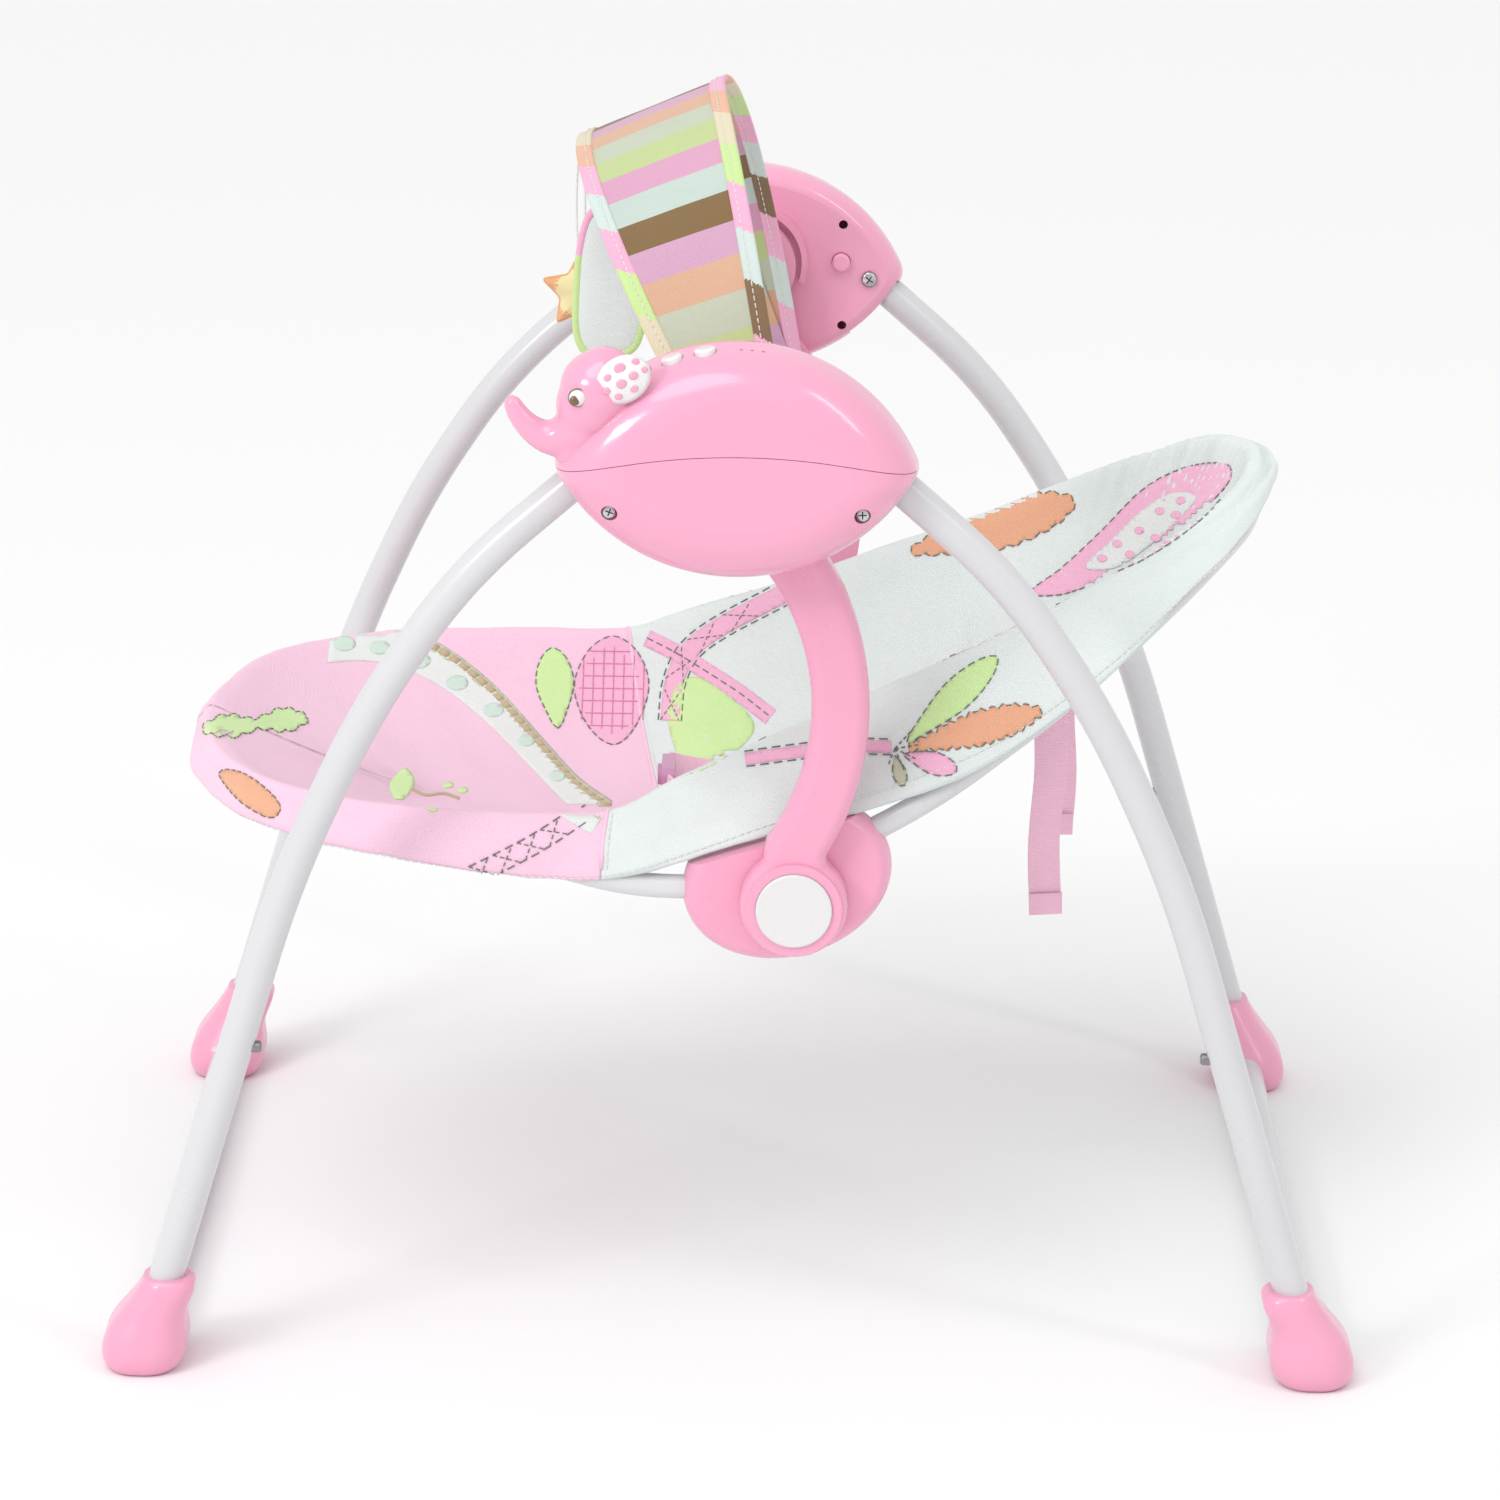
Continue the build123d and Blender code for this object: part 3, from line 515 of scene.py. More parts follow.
def seat_grid():
    """Points of the outer cloth surface, COLUMNS round by rows from the hem over the rim to the middle."""
    ring = seat_columns()
    rim, hem = ring[:, :3], ring[:, 3:]
    along = np.roll(rim, -1, axis=0) - np.roll(rim, 1, axis=0)
    out = np.stack([-along[:, 1], along[:, 0], np.zeros(COLUMNS)], axis=1)
    out /= np.linalg.norm(out, axis=1, keepdims=True)
    if (out[0] * rim[0]).sum() < 0:
        out = -out
    up = np.array([0, 0, 1.0])
    middle_x = MIDDLE_X * MM
    lines = []
    for r, h, o in zip(rim, hem, out):
        # From the turned hem, up the flap and over the rim to the top of the sling's wall.
        corners = [
            h - 11 * MM * o + 5 * MM * up,
            h - 5 * MM * o - 0.5 * MM * up,
            h + 0.5 * MM * o,
            h + (r - h) * 0.3 + 3.5 * MM * o,
            h + (r - h) * 0.62 + 4.5 * MM * o,
            r + 4.5 * MM * o - 5 * MM * up,
            r,
            r - 8 * MM * o - 2.5 * MM * up,
        ]
        edge = smooth_line(corners, EDGE_ROWS)
        spine = np.array([middle_x + 0.62 * (r[0] - middle_x), 0.0])
        inner = edge[-1]
        roundness = 3 - 1.0 * min(max((-0.10 - r[0]) / 0.12, 0), 1)
        lift = inner[2] - sling_height(inner[0])
        bowl = []
        for share in np.linspace(1, 0, BOWL_ROWS + 1)[1:]:
            x, y = spine + share * (inner[:2] - spine)
            depth = (1 - share**roundness) ** (0.8 + 0.06 * (3 - roundness))
            bowl.append((x, y, sling_height(x) + lift * (1 - depth)))
        line = np.vstack([edge, bowl])
        first, last = EDGE_ROWS - 4, EDGE_ROWS + 6
        for _ in range(2):
            beside = line[first - 1:last - 1] + line[first + 1:last + 1]
            line[first:last] = 0.5 * line[first:last] + 0.25 * beside
        lines.append(line)
    return np.array(lines), distances(rim)


def seat_normals(grid):
    """Normals of the closed grid, pointing away from the cloth's underside."""
    round_way = np.roll(grid, -1, axis=0) - np.roll(grid, 1, axis=0)
    over_way = np.gradient(grid, axis=1)
    normals = np.cross(over_way, round_way)
    size = np.linalg.norm(normals, axis=2, keepdims=True)
    normals /= np.maximum(size, 1e-12)
    if normals[:, EDGE_ROWS - 2, 2].mean() < 0:
        normals = -normals
    return normals


def add_folds(grid, length, normals):
    """Gathers along the elastic of the head end, and long soft folds in the cloth."""
    rows = grid.shape[1]
    shaped = grid.copy()
    for i in range(COLUMNS):
        x, side = grid[i, EDGE_ROWS - 1, 0], math.copysign(1, grid[i, EDGE_ROWS - 1, 1])
        head = min(max((x - 0.185) / 0.05, 0), 1)
        mint = min(max((x + 0.07) / 0.05, 0), 1)
        s = length[i]
        gather = math.sin(2 * math.pi * s / (GATHER_PITCH * MM) + 2.2 * soft_fold(s * 30, 0, 3.1))
        gather *= 0.75 + 0.5 * soft_fold(s * 60, 1.7, 8.2)
        for j in range(rows):
            from_rim = (j - (EDGE_ROWS - 3)) * 3.2
            push = head * 1.25 * gather * math.exp(-((from_rim - 6) / 15) ** 2)
            if j >= EDGE_ROWS:
                inside = math.sin(math.pi * min((j - EDGE_ROWS) / (rows - EDGE_ROWS), 1))
                push += inside * (1.5 + 3.4 * mint) * soft_fold(s * 24, j * 0.028, 5.5 + side)
                push += inside * 2.0 * mint * soft_fold(s * 62, j * 0.045, 9.5 + side)
                # Sharp creases follow the lines where this noise is zero.
                crease = soft_fold(s * 34 + j * 0.10, j * 0.03, 14.5 + side)
                push += inside * 1.5 * mint * (1 - min(abs(crease) * 5, 1)) ** 2
            else:
                flap = math.sin(math.pi * min(j / EDGE_ROWS, 1))
                push += flap * 2.2 * soft_fold(s * 22, j * 0.08, 1.5)
                push += flap * 0.9 * soft_fold(s * 70 + j * 0.1, j * 0.12, 4.5)
            shaped[i, j] += normals[i, j] * push * MM
    return shaped


grid, rim_length = seat_grid()
grid = add_folds(grid, rim_length, seat_normals(grid))
ROWS = grid.shape[1]


def seam_x(y):
    """Where the pink foot cloth ends and the mint cloth starts, at a distance from the middle."""
    return -0.045 - 0.030 * (abs(y) / 0.2) ** 1.5


def seat_surface():
    """The whole cloth surface as one open mesh, with the middle joined."""
    points = grid.reshape(-1, 3)
    uvs = grid_uvs(points, COLUMNS, ROWS)
    piece = new_piece("seat_surface", points, grid_faces(COLUMNS, ROWS, wrap=True), [mint_cloth], uvs=uvs)
    made = bmesh.new()
    made.from_mesh(piece.data)
    bmesh.ops.remove_doubles(made, verts=made.verts, dist=0.0006)
    made.to_mesh(piece.data)
    made.free()
    return set_normals(piece, lambda faces: max(faces, key=lambda f: f.calc_center_median().z).normal.z < 0)


def cut_at_seam(source, name, material, keep_foot):
    """The part of the seat cloth on one side of the seam, cut cleanly along it."""
    made = bmesh.new()
    made.from_mesh(source.data)
    for v in made.verts:
        v.co.x -= seam_x(v.co.y)
    edge = -0.0002 if keep_foot else 0.0
    bmesh.ops.bisect_plane(
        made, geom=made.verts[:] + made.edges[:] + made.faces[:], dist=1e-6,
        plane_co=(edge, 0, 0), plane_no=(1, 0, 0), clear_outer=keep_foot, clear_inner=not keep_foot,
    )
    for v in made.verts:
        v.co.x += seam_x(v.co.y)
    mesh = bpy.data.meshes.new(name)
    made.to_mesh(mesh)
    made.free()
    mesh.materials.clear()
    mesh.materials.append(material)
    mesh.shade_smooth()
    return add_object(name, mesh)


surface = seat_surface()
seat_tree = BVHTree.FromObject(surface, bpy.context.evaluated_depsgraph_get())
foot_cover = cut_at_seam(surface, "seat_foot_cover", pink_cloth, True)
mint_cover = cut_at_seam(surface, "seat_mint_cover", mint_cloth, False)
bpy.data.objects.remove(surface)
for cover in (foot_cover, mint_cover):
    thicken(cover, CLOTH_THICKNESS * MM)
    cover.data.shade_smooth()
    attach(cover, "seat")
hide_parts("seat_cover")


# ---------------------------------------------------------------- prints on the cloth
# Prints are drawn on a plane that looks at the seat from one side, tilted down by this angle.
PRINT_TILT = math.radians(17.5)
PRINT_THICKNESS = 0.3
STITCH_LIFT = 0.55
LONGEST_STEP = 9


def ray_frame(side):
    """The direction that the drawing plane looks in, and its upward axis."""
    angle = PRINT_TILT
    look = Vector((0, -side * math.cos(angle), -math.sin(angle)))
    rise = Vector((0, -side * math.sin(angle), math.cos(angle)))
    return look, rise


def on_cloth(x, v, side, lift):
    """The point of the cloth under (x, v) of the drawing plane, in millimetres, and its normal."""
    look, rise = ray_frame(side)
    start = Vector((x, 0, 0)) * MM + rise * v * MM - look * 2.0
    place, normal, _, _ = seat_tree.ray_cast(start, look)
    if place is None:
        return None, None
    if normal.dot(look) > 0:
        normal = -normal
    return place + normal * lift * MM, normal


def flat_line(keys, count, closed=False):
    """A smooth line through key points of the drawing plane."""
    return smooth_line([(x, v, 0) for x, v in keys], count, closed)[:, :2]


def line_sides(line):
    """The sideways direction at each point of a flat line."""
    way = np.gradient(line, axis=0)
    side = np.stack([-way[:, 1], way[:, 0]], axis=1)
    return side / np.linalg.norm(side, axis=1, keepdims=True)


def outline_points(keys, scallop=0.0, waves=0):
    """A smooth closed outline through key points, with scalloped edges if asked."""
    line = flat_line(keys, 200 if waves else 96, closed=True)
    if waves:
        ahead = np.roll(line, -1, axis=0) - np.roll(line, 1, axis=0)
        out = np.stack([ahead[:, 1], -ahead[:, 0]], axis=1)
        out /= np.linalg.norm(out, axis=1, keepdims=True)
        turned = np.sum(line[:, 0] * np.roll(line[:, 1], -1) - np.roll(line[:, 0], -1) * line[:, 1])
        out *= math.copysign(1, turned)
        phase = np.abs(np.sin(np.linspace(0, math.pi * waves, len(line), endpoint=False)))
        line = line + out * (phase[:, None] - 0.5) * scallop
    return line


def petal(start, end, width):
    """Key points of a petal from one point to another, widest past its middle."""
    a, b = np.array(start, float), np.array(end, float)
    way = b - a
    side = np.array([-way[1], way[0]]) / np.linalg.norm(way) * width / 2
    low, middle, high = a + way * 0.22, a + way * 0.55, a + way * 0.85
    return [
        a, low + side * 0.55, middle + side, high + side * 0.72,
        b, high - side * 0.72, middle - side, low - side * 0.55,
    ]


def ribbon(keys, width, end_width=None):
    """Outline of a flat ribbon along key points, tapered if it has an end width."""
    line = flat_line(keys, 40)
    side = line_sides(line)
    half = np.linspace(width, end_width or width, len(line))[:, None] / 2
    return np.vstack([line + side * half, (line - side * half)[::-1]])


def print_shape(outline, material, side=NEAR, lift=0.35, grain=3.2):
    """A thin closed patch of print with the given outline, laid on the cloth."""
    outline = [Vector(p) for p in outline]
    low = Vector((min(p.x for p in outline), min(p.y for p in outline)))
    high = Vector((max(p.x for p in outline), max(p.y for p in outline)))
    inner = []
    y = low.y + grain / 2
    while y < high.y:
        x = low.x + grain / 2
        while x < high.x:
            inner.append(Vector((x, y)))
            x += grain
        y += grain
    count = len(outline)
    edges = [(i, (i + 1) % count) for i in range(count)]
    points, _, faces, _, _, _ = delaunay_2d_cdt(outline + inner, edges, [], 1, 1e-4)
    placed = [on_cloth(p.x, p.y, side, lift) for p in points]
    kept = []
    for face in faces:
        corners = [placed[i][0] for i in face]
        if any(c is None for c in corners):
            continue
        if max((a - b).length for a, b in zip(corners, corners[1:] + corners[:1])) <= 5.5 * grain * MM:
            kept.append(tuple(face))
    used = sorted({i for face in kept for i in face})
    order = {old: new for new, old in enumerate(used)}
    piece = new_piece(
        "print", [placed[i][0] for i in used], [tuple(order[i] for i in face) for face in kept], [material],
        uvs=[(points[i].x * MM, points[i].y * MM) for i in used],
    )
    look = ray_frame(side)[0]
    set_normals(piece, lambda faces: sum(f.normal.dot(look) for f in faces) > 0)
    return thicken(piece, PRINT_THICKNESS * MM)


def dash_line(keys, material, side=NEAR, length=5.0, gap=3.0, width=0.9, smooth=True):
    """A row of stitch marks on the cloth along key points, or round an outline that is smooth already."""
    if smooth:
        flat = flat_line(keys, 160)
    else:
        flat = np.array(keys + keys[:1], float)
    runs = [[]]
    for x, v in flat:
        place, normal = on_cloth(x, v, side, STITCH_LIFT)
        if place is None or (runs[-1] and (place - runs[-1][-1][0]).length > LONGEST_STEP * MM):
            runs.append([])
        if place is not None:
            runs[-1].append((place, normal))
    made = []
    for run in runs:
        if len(run) > 1:
            path, normals = np.array([p for p, _ in run]), np.array([n for _, n in run])
            made.append(dashes_on(path, normals, material, length, gap, width))
    made = [piece for piece in made if piece is not None]
    return join_pieces("dashes", made) if made else None


def dashes_on(path, normals, material, length, gap, width, high=0.5):
    """Stitch marks along a line of points with normals: short flat bars, slightly raised."""
    far = distances(path)
    points, faces = [], []
    start = 0.0
    while start + length * MM < far[-1]:
        ends = []
        for s in (start, start + length * MM):
            normal = point_at(s, far, normals)
            ends.append((point_at(s, far, path), normal / np.linalg.norm(normal)))
        way = ends[1][0] - ends[0][0]
        start += (length + gap) * MM
        if np.linalg.norm(way) < 0.4 * length * MM:
            continue
        base = len(points)
        for place, normal in ends:
            side = np.cross(normal, way)
            side *= width * MM / 2 / np.linalg.norm(side)
            top = normal * high * MM * 0.5
            points += [place - side - top, place + side - top]
            points += [place + 0.6 * side + top, place - 0.6 * side + top]
        for ring in ((0, 1, 5, 4), (1, 2, 6, 5), (2, 3, 7, 6), (3, 0, 4, 7), (3, 2, 1, 0), (4, 5, 6, 7)):
            faces.append(tuple(base + i for i in ring))
    if not faces:
        return None
    return new_piece("dashes", points, faces, [material])


drawn, marks = [], []


def draw(outline, colour_name, side=NEAR, dashed=True):
    """Lays a print on the cloth, with stitches round it unless they are left out."""
    drawn.append(print_shape(outline, prints[colour_name], side))
    if dashed:
        keys = [tuple(p) for p in outline]
        marks.append(dash_line(keys, stitch_grey, side, 4.2, 2.6, 0.8, smooth=False))


def mark(keys, **options):
    marks.append(dash_line(keys, stitch_grey, **options))


def circle(x, v, radius, flatness):
    return [(x + radius * math.cos(t), v + radius * flatness * math.sin(t)) for t in full_turn(24)]


def offset_line(keys, distance):
    """Key points moved sideways, for stitch rows beside a ribbon."""
    line = flat_line(keys, 24)
    return line + line_sides(line) * distance


def stitched_ribbon(keys, width, colour_name, rows, side=NEAR, crossed=False):
    """A printed ribbon with rows of dashes at the given distances, and crosses over it if asked."""
    if colour_name:
        draw(ribbon(keys, width), colour_name, side=side, dashed=False)
    for distance in rows:
        mark(offset_line(keys, distance), side=side)
    if crossed:
        for a, b in ((-0.5, 0.5), (0.5, -0.5)):
            left, right = offset_line(keys, a * width), offset_line(keys, b * width)
            for k in range(0, len(left) - 4, 5):
                mark([left[k], right[k + 4]], side=side, length=2.6, gap=1.8, width=0.7)


def flower(side):
    """The stitched flower on a side flap, with the ribbon that leads to it."""
    stitched_ribbon([(6, 283), (40, 288), (66, 291), (90, 291)], 7, "rose", (-4.5, 4.5), side)
    draw(outline_points(petal((99, 294), (151, 344), 18)), "lime", side=side)
    draw(outline_points(petal((99, 290), (176, 313), 19), 3.0, 26), "orange", side=side)
    draw(outline_points(petal((97, 287), (128, 278), 13)), "rose", side=side)
    draw(outline_points(petal((92, 286), (97, 268), 8)), "beige", side=side)
    for k in range(5):
        turn = 0.9 - 0.7 * k
        ray = [(92, 290), (92 + 15 * math.cos(turn), 290 + 13 * math.sin(turn))]
        mark(ray, side=side, length=2.2, gap=1.6)


# The prints of the foot end: a cloud and a petal at the tip, and a laced ribbon on each side flap.
cloud = [
    (-322, 296), (-312, 305), (-296, 303), (-282, 310),
    (-267, 304), (-276, 296), (-292, 297), (-304, 292),
]
draw(outline_points(cloud, 2.4, 16), "lime")
draw(outline_points([(-305, 270), (-294, 272), (-278, 265), (-264, 252), (-270, 245), (-289, 254)]), "orange")
laced_ribbon = [(-150, 214), (-134, 222), (-112, 234), (-88, 250)]
for side in (NEAR, FAR):
    stitched_ribbon(laced_ribbon, 11, None, (-5.5, 5.5), side, crossed=True)
white_band = [
    (-262, 352), (-236, 353), (-208, 346), (-180, 331),
    (-152, 308), (-124, 280), (-100, 257), (-79, 243),
]
draw(ribbon(white_band, 25, 11), "white", dashed=False)
band_spots = [
    (-252, 352, 7), (-230, 350, 6.5), (-205, 342, 7.5), (-180, 328, 7), (-156, 311, 6.5), (-134, 292, 5.5),
    (-113, 270, 5),
]
for x, v, radius in band_spots:
    drawn.append(print_shape(circle(x, v, radius, 0.7), prints["mint"], lift=0.6))
rope = [(-206, 357), (-182, 343), (-156, 322), (-128, 293), (-102, 267), (-76, 250)]
draw(ribbon(rope, 7), "beige", dashed=False)
marks.append(dash_line(rope, prints["tan"], length=6.5, gap=1.6, width=5.4))
draw(outline_points([(-212, 264), (-205, 274), (-198, 265), (-204, 254)]), "lime", dashed=False)
draw(ribbon([(-200, 262), (-190, 258), (-180, 259), (-170, 256)], 1.4), "tan", dashed=False)
for x, v in ((-178, 264), (-169, 261), (-174, 252)):
    draw(circle(x, v, 3.2, 0.6), "lime", dashed=False)


def bowl_prints(side):
    """The prints on the wall of the sling that faces one side."""
    draw(outline_points(petal((-115, 300), (-121, 352), 24)), "lime", side=side)
    checked = [
        (-106, 327), (-98, 350), (-82, 360), (-66, 350),
        (-58, 328), (-66, 302), (-80, 290), (-97, 303),
    ]
    draw(outline_points(checked), "rose", side=side)
    for k in range(-3, 4):
        x, v, shorter = -81 + 6.5 * k, 326 + 8 * k, abs(k)
        upright = [(x, 297 + 3 * shorter), (x, 355 - 3 * shorter)]
        level = [(-103 + 2.2 * shorter, v), (-60 - 2.2 * shorter, v)]
        for ends in (upright, level):
            marks.append(dash_line(ends, check_rose, side=side, length=5.0, gap=0.2, width=0.8))
    patch = [(-46, 316), (-27, 334), (8, 308), (2, 290), (-22, 275), (-36, 278)]
    draw(outline_points(patch), "lime", side=side, dashed=False)
    stitched_ribbon([(-60, 359), (-42, 350), (-22, 338), (0, 324), (20, 309)], 11, "rose", (0.0,), side)
    crossing = [(-44, 306), (-42, 330), (-33, 350), (-13, 366), (28, 388)]
    stitched_ribbon(crossing, 12, "rose", (-7.5, 7.5), side, crossed=True)
    draw(outline_points(petal((106, 414), (208, 446), 30), 2.4, 22), "orange", side=side)


for side_prints in (bowl_prints, flower):
    for side in (NEAR, FAR):
        side_prints(side)
# The plain tapered motif near the head end, with a dotted patch on it.
motif = [
    (180, 388), (200, 404), (223, 426), (248, 452), (272, 465), (293, 466),
    (296, 456), (284, 440), (268, 424), (246, 408), (222, 395), (200, 387),
]
draw(outline_points(motif), "rose")
motif_patch = [(214, 404), (230, 421), (248, 439), (264, 449), (278, 446), (266, 430), (248, 414), (231, 403)]
drawn.append(print_shape(outline_points(motif_patch), prints["white"], lift=0.7))
for x, v in ((224, 409), (233, 418), (240, 411), (246, 426), (255, 421), (258, 438), (267, 435), (270, 444)):
    drawn.append(print_shape(circle(x, v, 2.8, 0.9), prints["rose"], lift=1.0, grain=2.0))
drawn[:] = [piece for piece in drawn if len(piece.data.polygons)]
seat_prints = join_pieces("seat_prints", drawn)
seat_stitches = join_pieces("seat_print_stitches", [piece for piece in marks if piece is not None])

# A row of stitches along the hem, one beside the seam between the two cloths, and the seam itself.
HEM_ROW = 8
hem_line = np.vstack([grid[:, HEM_ROW], grid[:1, HEM_ROW]])
hem_normals = seat_normals(grid)[:, HEM_ROW]
hem_normals = np.vstack([hem_normals, hem_normals[:1]])
hem_stitches = dashes_on(hem_line + hem_normals * 0.5 * MM, hem_normals, stitch_white, 3.2, 1.4, 0.6)
hem_stitches.name = "seat_hem_stitches"
seam_path, seam_normals = [], []
for y in np.linspace(-0.21, 0.21, 220):
    start = Vector((seam_x(y), y, 1.0))
    place, normal, _, _ = seat_tree.ray_cast(start, Vector((0, 0, -1)))
    if place is not None:
        seam_path.append(np.array(place))
        seam_normals.append(np.array(normal if normal.z > 0 else -normal))
seam_path, seam_normals = np.array(seam_path), np.array(seam_normals)
seam_section = rounded_bar(1.1 * MM, 0.7 * MM, 0.6 * MM, 2)
seam_bead = tube_mesh("seat_seam", sweep(seam_path, seam_section, seam_normals), [pink_cloth])
beside_seam = seam_path + seam_normals * 0.5 * MM + np.array([3.2 * MM, 0, 0])
seam_stitches = dashes_on(beside_seam, seam_normals, stitch_white, 3.0, 1.4, 0.6)
seam_stitches.name = "seat_seam_stitches"
for piece in (seat_prints, seat_stitches, hem_stitches, seam_bead, seam_stitches):
    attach(piece, "seat")

# ---------------------------------------------------------------- canopy
CANOPY_HALF = 204.5
CANOPY_END = 86.0
STRIPE = 22.0
stripe_colours = {
    "lilac": (216, 168, 197),
    "salmon": (224, 179, 149),
    "beige": (200, 208, 185),
    "lime": (197, 214, 148),
    "pink": (224, 165, 195),
    "mint": (201, 217, 208),
    "brown": (134, 105, 62),
}
piping_colours = {
    "orange": (240, 186, 156),
    "cream": (232, 222, 190),
    "lime": (208, 238, 158),
    "pink": (250, 184, 216),
    "mint": (216, 232, 226),
    "brown": (136, 110, 78),
}
stripe_cloths = [cloth(f"stripe_{name}", colour(*base)) for name, base in stripe_colours.items()]
piping_cloths = {name: cloth(f"piping_{name}", colour(*base)) for name, base in piping_colours.items()}


def canopy_edges(turn):
    """The foot-side and head-side edge points of the band, at an angle from the top of the arch."""
    share = 1 - math.cos(math.radians(turn))
    y = CANOPY_HALF * math.sin(math.radians(turn))
    foot = np.array([-97.0 + 113.0 * share, y, 677.0 - 193.0 * share])
    head = np.array([-13.0 + 51.0 * share**0.75, y, 713.0 - 229.0 * share])
    return foot * MM, head * MM


fine_turns = np.linspace(-CANOPY_END, CANOPY_END, 400)
fine_edges = np.array([canopy_edges(turn) for turn in fine_turns])
fine_middle = fine_edges.mean(axis=1)
fine_length = distances(fine_middle)
fine_length -= fine_length[-1] / 2
fine_normal = np.cross(np.gradient(fine_middle, axis=0), fine_edges[:, 1] - fine_edges[:, 0])
fine_normal /= np.linalg.norm(fine_normal, axis=1, keepdims=True)
if fine_normal[len(fine_turns) // 2, 2] < 0:
    fine_normal = -fine_normal


def canopy_at(length, share, lift=0.0):
    """A point of the band: length along the arch from its top, share across it from the foot edge."""
    foot = point_at(length, fine_length, fine_edges[:, 0])
    head = point_at(length, fine_length, fine_edges[:, 1])
    normal = point_at(length, fine_length, fine_normal)
    return foot + (head - foot) * share + normal / np.linalg.norm(normal) * lift


def canopy_axes(length):
    """The direction across the band, its width there, and the direction off its outer face."""
    across = canopy_at(length, 1) - canopy_at(length, 0)
    width = np.linalg.norm(across)
    return across / width, width, canopy_at(length, 0.5, 1.0) - canopy_at(length, 0.5, 0.0)


def stripe_index(length):
    """Which stripe cloth lies at a length along the arch; the far side carries the pattern on."""
    return int(math.floor(-length / (STRIPE * MM) + 0.5)) % len(stripe_cloths)


half_stripes = int(fine_length[-1] / (STRIPE * MM) - 0.5)
cuts = [(k + 0.5) * STRIPE * MM for k in range(-half_stripes - 1, half_stripes + 1)]
inner_cuts = [c for c in cuts if fine_length[0] + 0.001 < c < fine_length[-1] - 0.001]
cuts = [fine_length[0], *inner_cuts, fine_length[-1]]
STRIPE_ROWS = 4
row_lengths = [a + (b - a) * t / STRIPE_ROWS for a, b in zip(cuts, cuts[1:]) for t in range(STRIPE_ROWS)]
row_lengths.append(cuts[-1])
ACROSS = 13
band_points, band_uvs = [], []
for length in row_lengths:
    for share in np.arange(ACROSS) / (ACROSS - 1):
        crown = 0.5 * MM * math.sin(math.pi * share)
        ripple = 0.5 * MM * soft_fold(length * 30, share * 3, 2.0)
        band_points.append(canopy_at(length, share, crown + ripple))
        band_uvs.append((length, share * 0.09))
band_faces = grid_faces(len(row_lengths), ACROSS)
row_middles = [(a + b) / 2 for a, b in zip(row_lengths, row_lengths[1:])]
band_slots = [stripe_index(middle) for middle in row_middles for _ in range(ACROSS - 1)]
canopy_band = new_piece("canopy_band", band_points, band_faces, stripe_cloths, band_slots, band_uvs)
thicken(canopy_band, 1.6 * MM, 0.0)

piping_plan = {
    "foot": ["cream", "orange", "pink", "mint", "pink", "lime", "cream", "mint", "orange"],
    "head": ["pink", "orange", "cream", "lime", "pink", "mint", "brown", "pink", "mint"],
}
PATCH = 33.0


def canopy_piping(edge):
    """A flat cloth binding folded over one edge of the band, in patches with slanted joins."""
    names = piping_plan[edge]
    keys = list(piping_cloths)
    flat = np.linspace(4.2, -4.2, 9)
    section = [(a * MM, 1.7 * MM) for a in flat] + [(-5.0 * MM, 0.9 * MM), (-5.0 * MM, -0.9 * MM)]
    section += [(-a * MM, -1.7 * MM) for a in flat] + [(5.0 * MM, -0.9 * MM), (5.0 * MM, 0.9 * MM)]
    lengths = np.arange(fine_length[0], fine_length[-1], 1.3 * MM)
    inward = 1 if edge == "foot" else -1

    def near_edge(length, inset, lift):
        """A point at a distance in from this edge, in millimetres."""
        share = inset * MM / canopy_axes(length)[1]
        return canopy_at(length, share if edge == "foot" else 1 - share, lift)

    rings = []
    for length in lengths:
        across, _, normal = canopy_axes(length)
        centre = near_edge(length, 3.4, 0.4 * MM)
        rings.append([centre + across * inward * a + normal * b for a, b in section])
    piece = tube_mesh(f"canopy_piping_{edge}", np.array(rings), list(piping_cloths.values()))
    around = len(section)
    for polygon in piece.data.polygons:
        row, place = divmod(min(polygon.vertices), around)
        length = lengths[min(row, len(lengths) - 1)]
        slant = inward * section[place % around][0] * 0.9
        step = int(abs(length + (slant if length < 0 else -slant)) / (PATCH * MM) + 0.35)
        polygon.material_index = keys.index(names[step % len(names)])
    rows = []
    for lift in (2.35 * MM, -1.55 * MM):
        line = np.array([near_edge(length, 4.4, lift) for length in lengths])
        normals = np.array([canopy_axes(length)[2] for length in lengths]) * math.copysign(1, lift)
        rows.append(dashes_on(line, normals, stitch_white, 3.0, 1.5, 0.7, 0.4))
    return piece, join_pieces(f"canopy_stitches_{edge}", rows)


sleeve_section = rounded_bar(8.0 * MM, 1.3 * MM, 0.9 * MM, 3)
sleeve_lengths = np.arange(fine_length[0] + 0.002, fine_length[-1] - 0.002, 3.0 * MM)
sleeve_rings = []
for length in sleeve_lengths:
    across, _, normal = canopy_axes(length)
    centre = canopy_at(length, 0.5, -1.6 * MM)
    sleeve_rings.append([centre + across * a + normal * b for a, b in sleeve_section])
sleeve_stripes = [stripe_index(length) for length in sleeve_lengths[:-1]]
canopy_sleeve = tube_mesh("canopy_sleeve", np.array(sleeve_rings), stripe_cloths, sleeve_stripes)
foot_piping, foot_piping_stitches = canopy_piping("foot")
head_piping, head_piping_stitches = canopy_piping("head")
piping_pieces = (foot_piping, head_piping, foot_piping_stitches, head_piping_stitches)
for piece in (canopy_band, *piping_pieces, canopy_sleeve):
    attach(piece, "canopy")
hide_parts("canopy_cover")
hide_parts("canopy_strip")

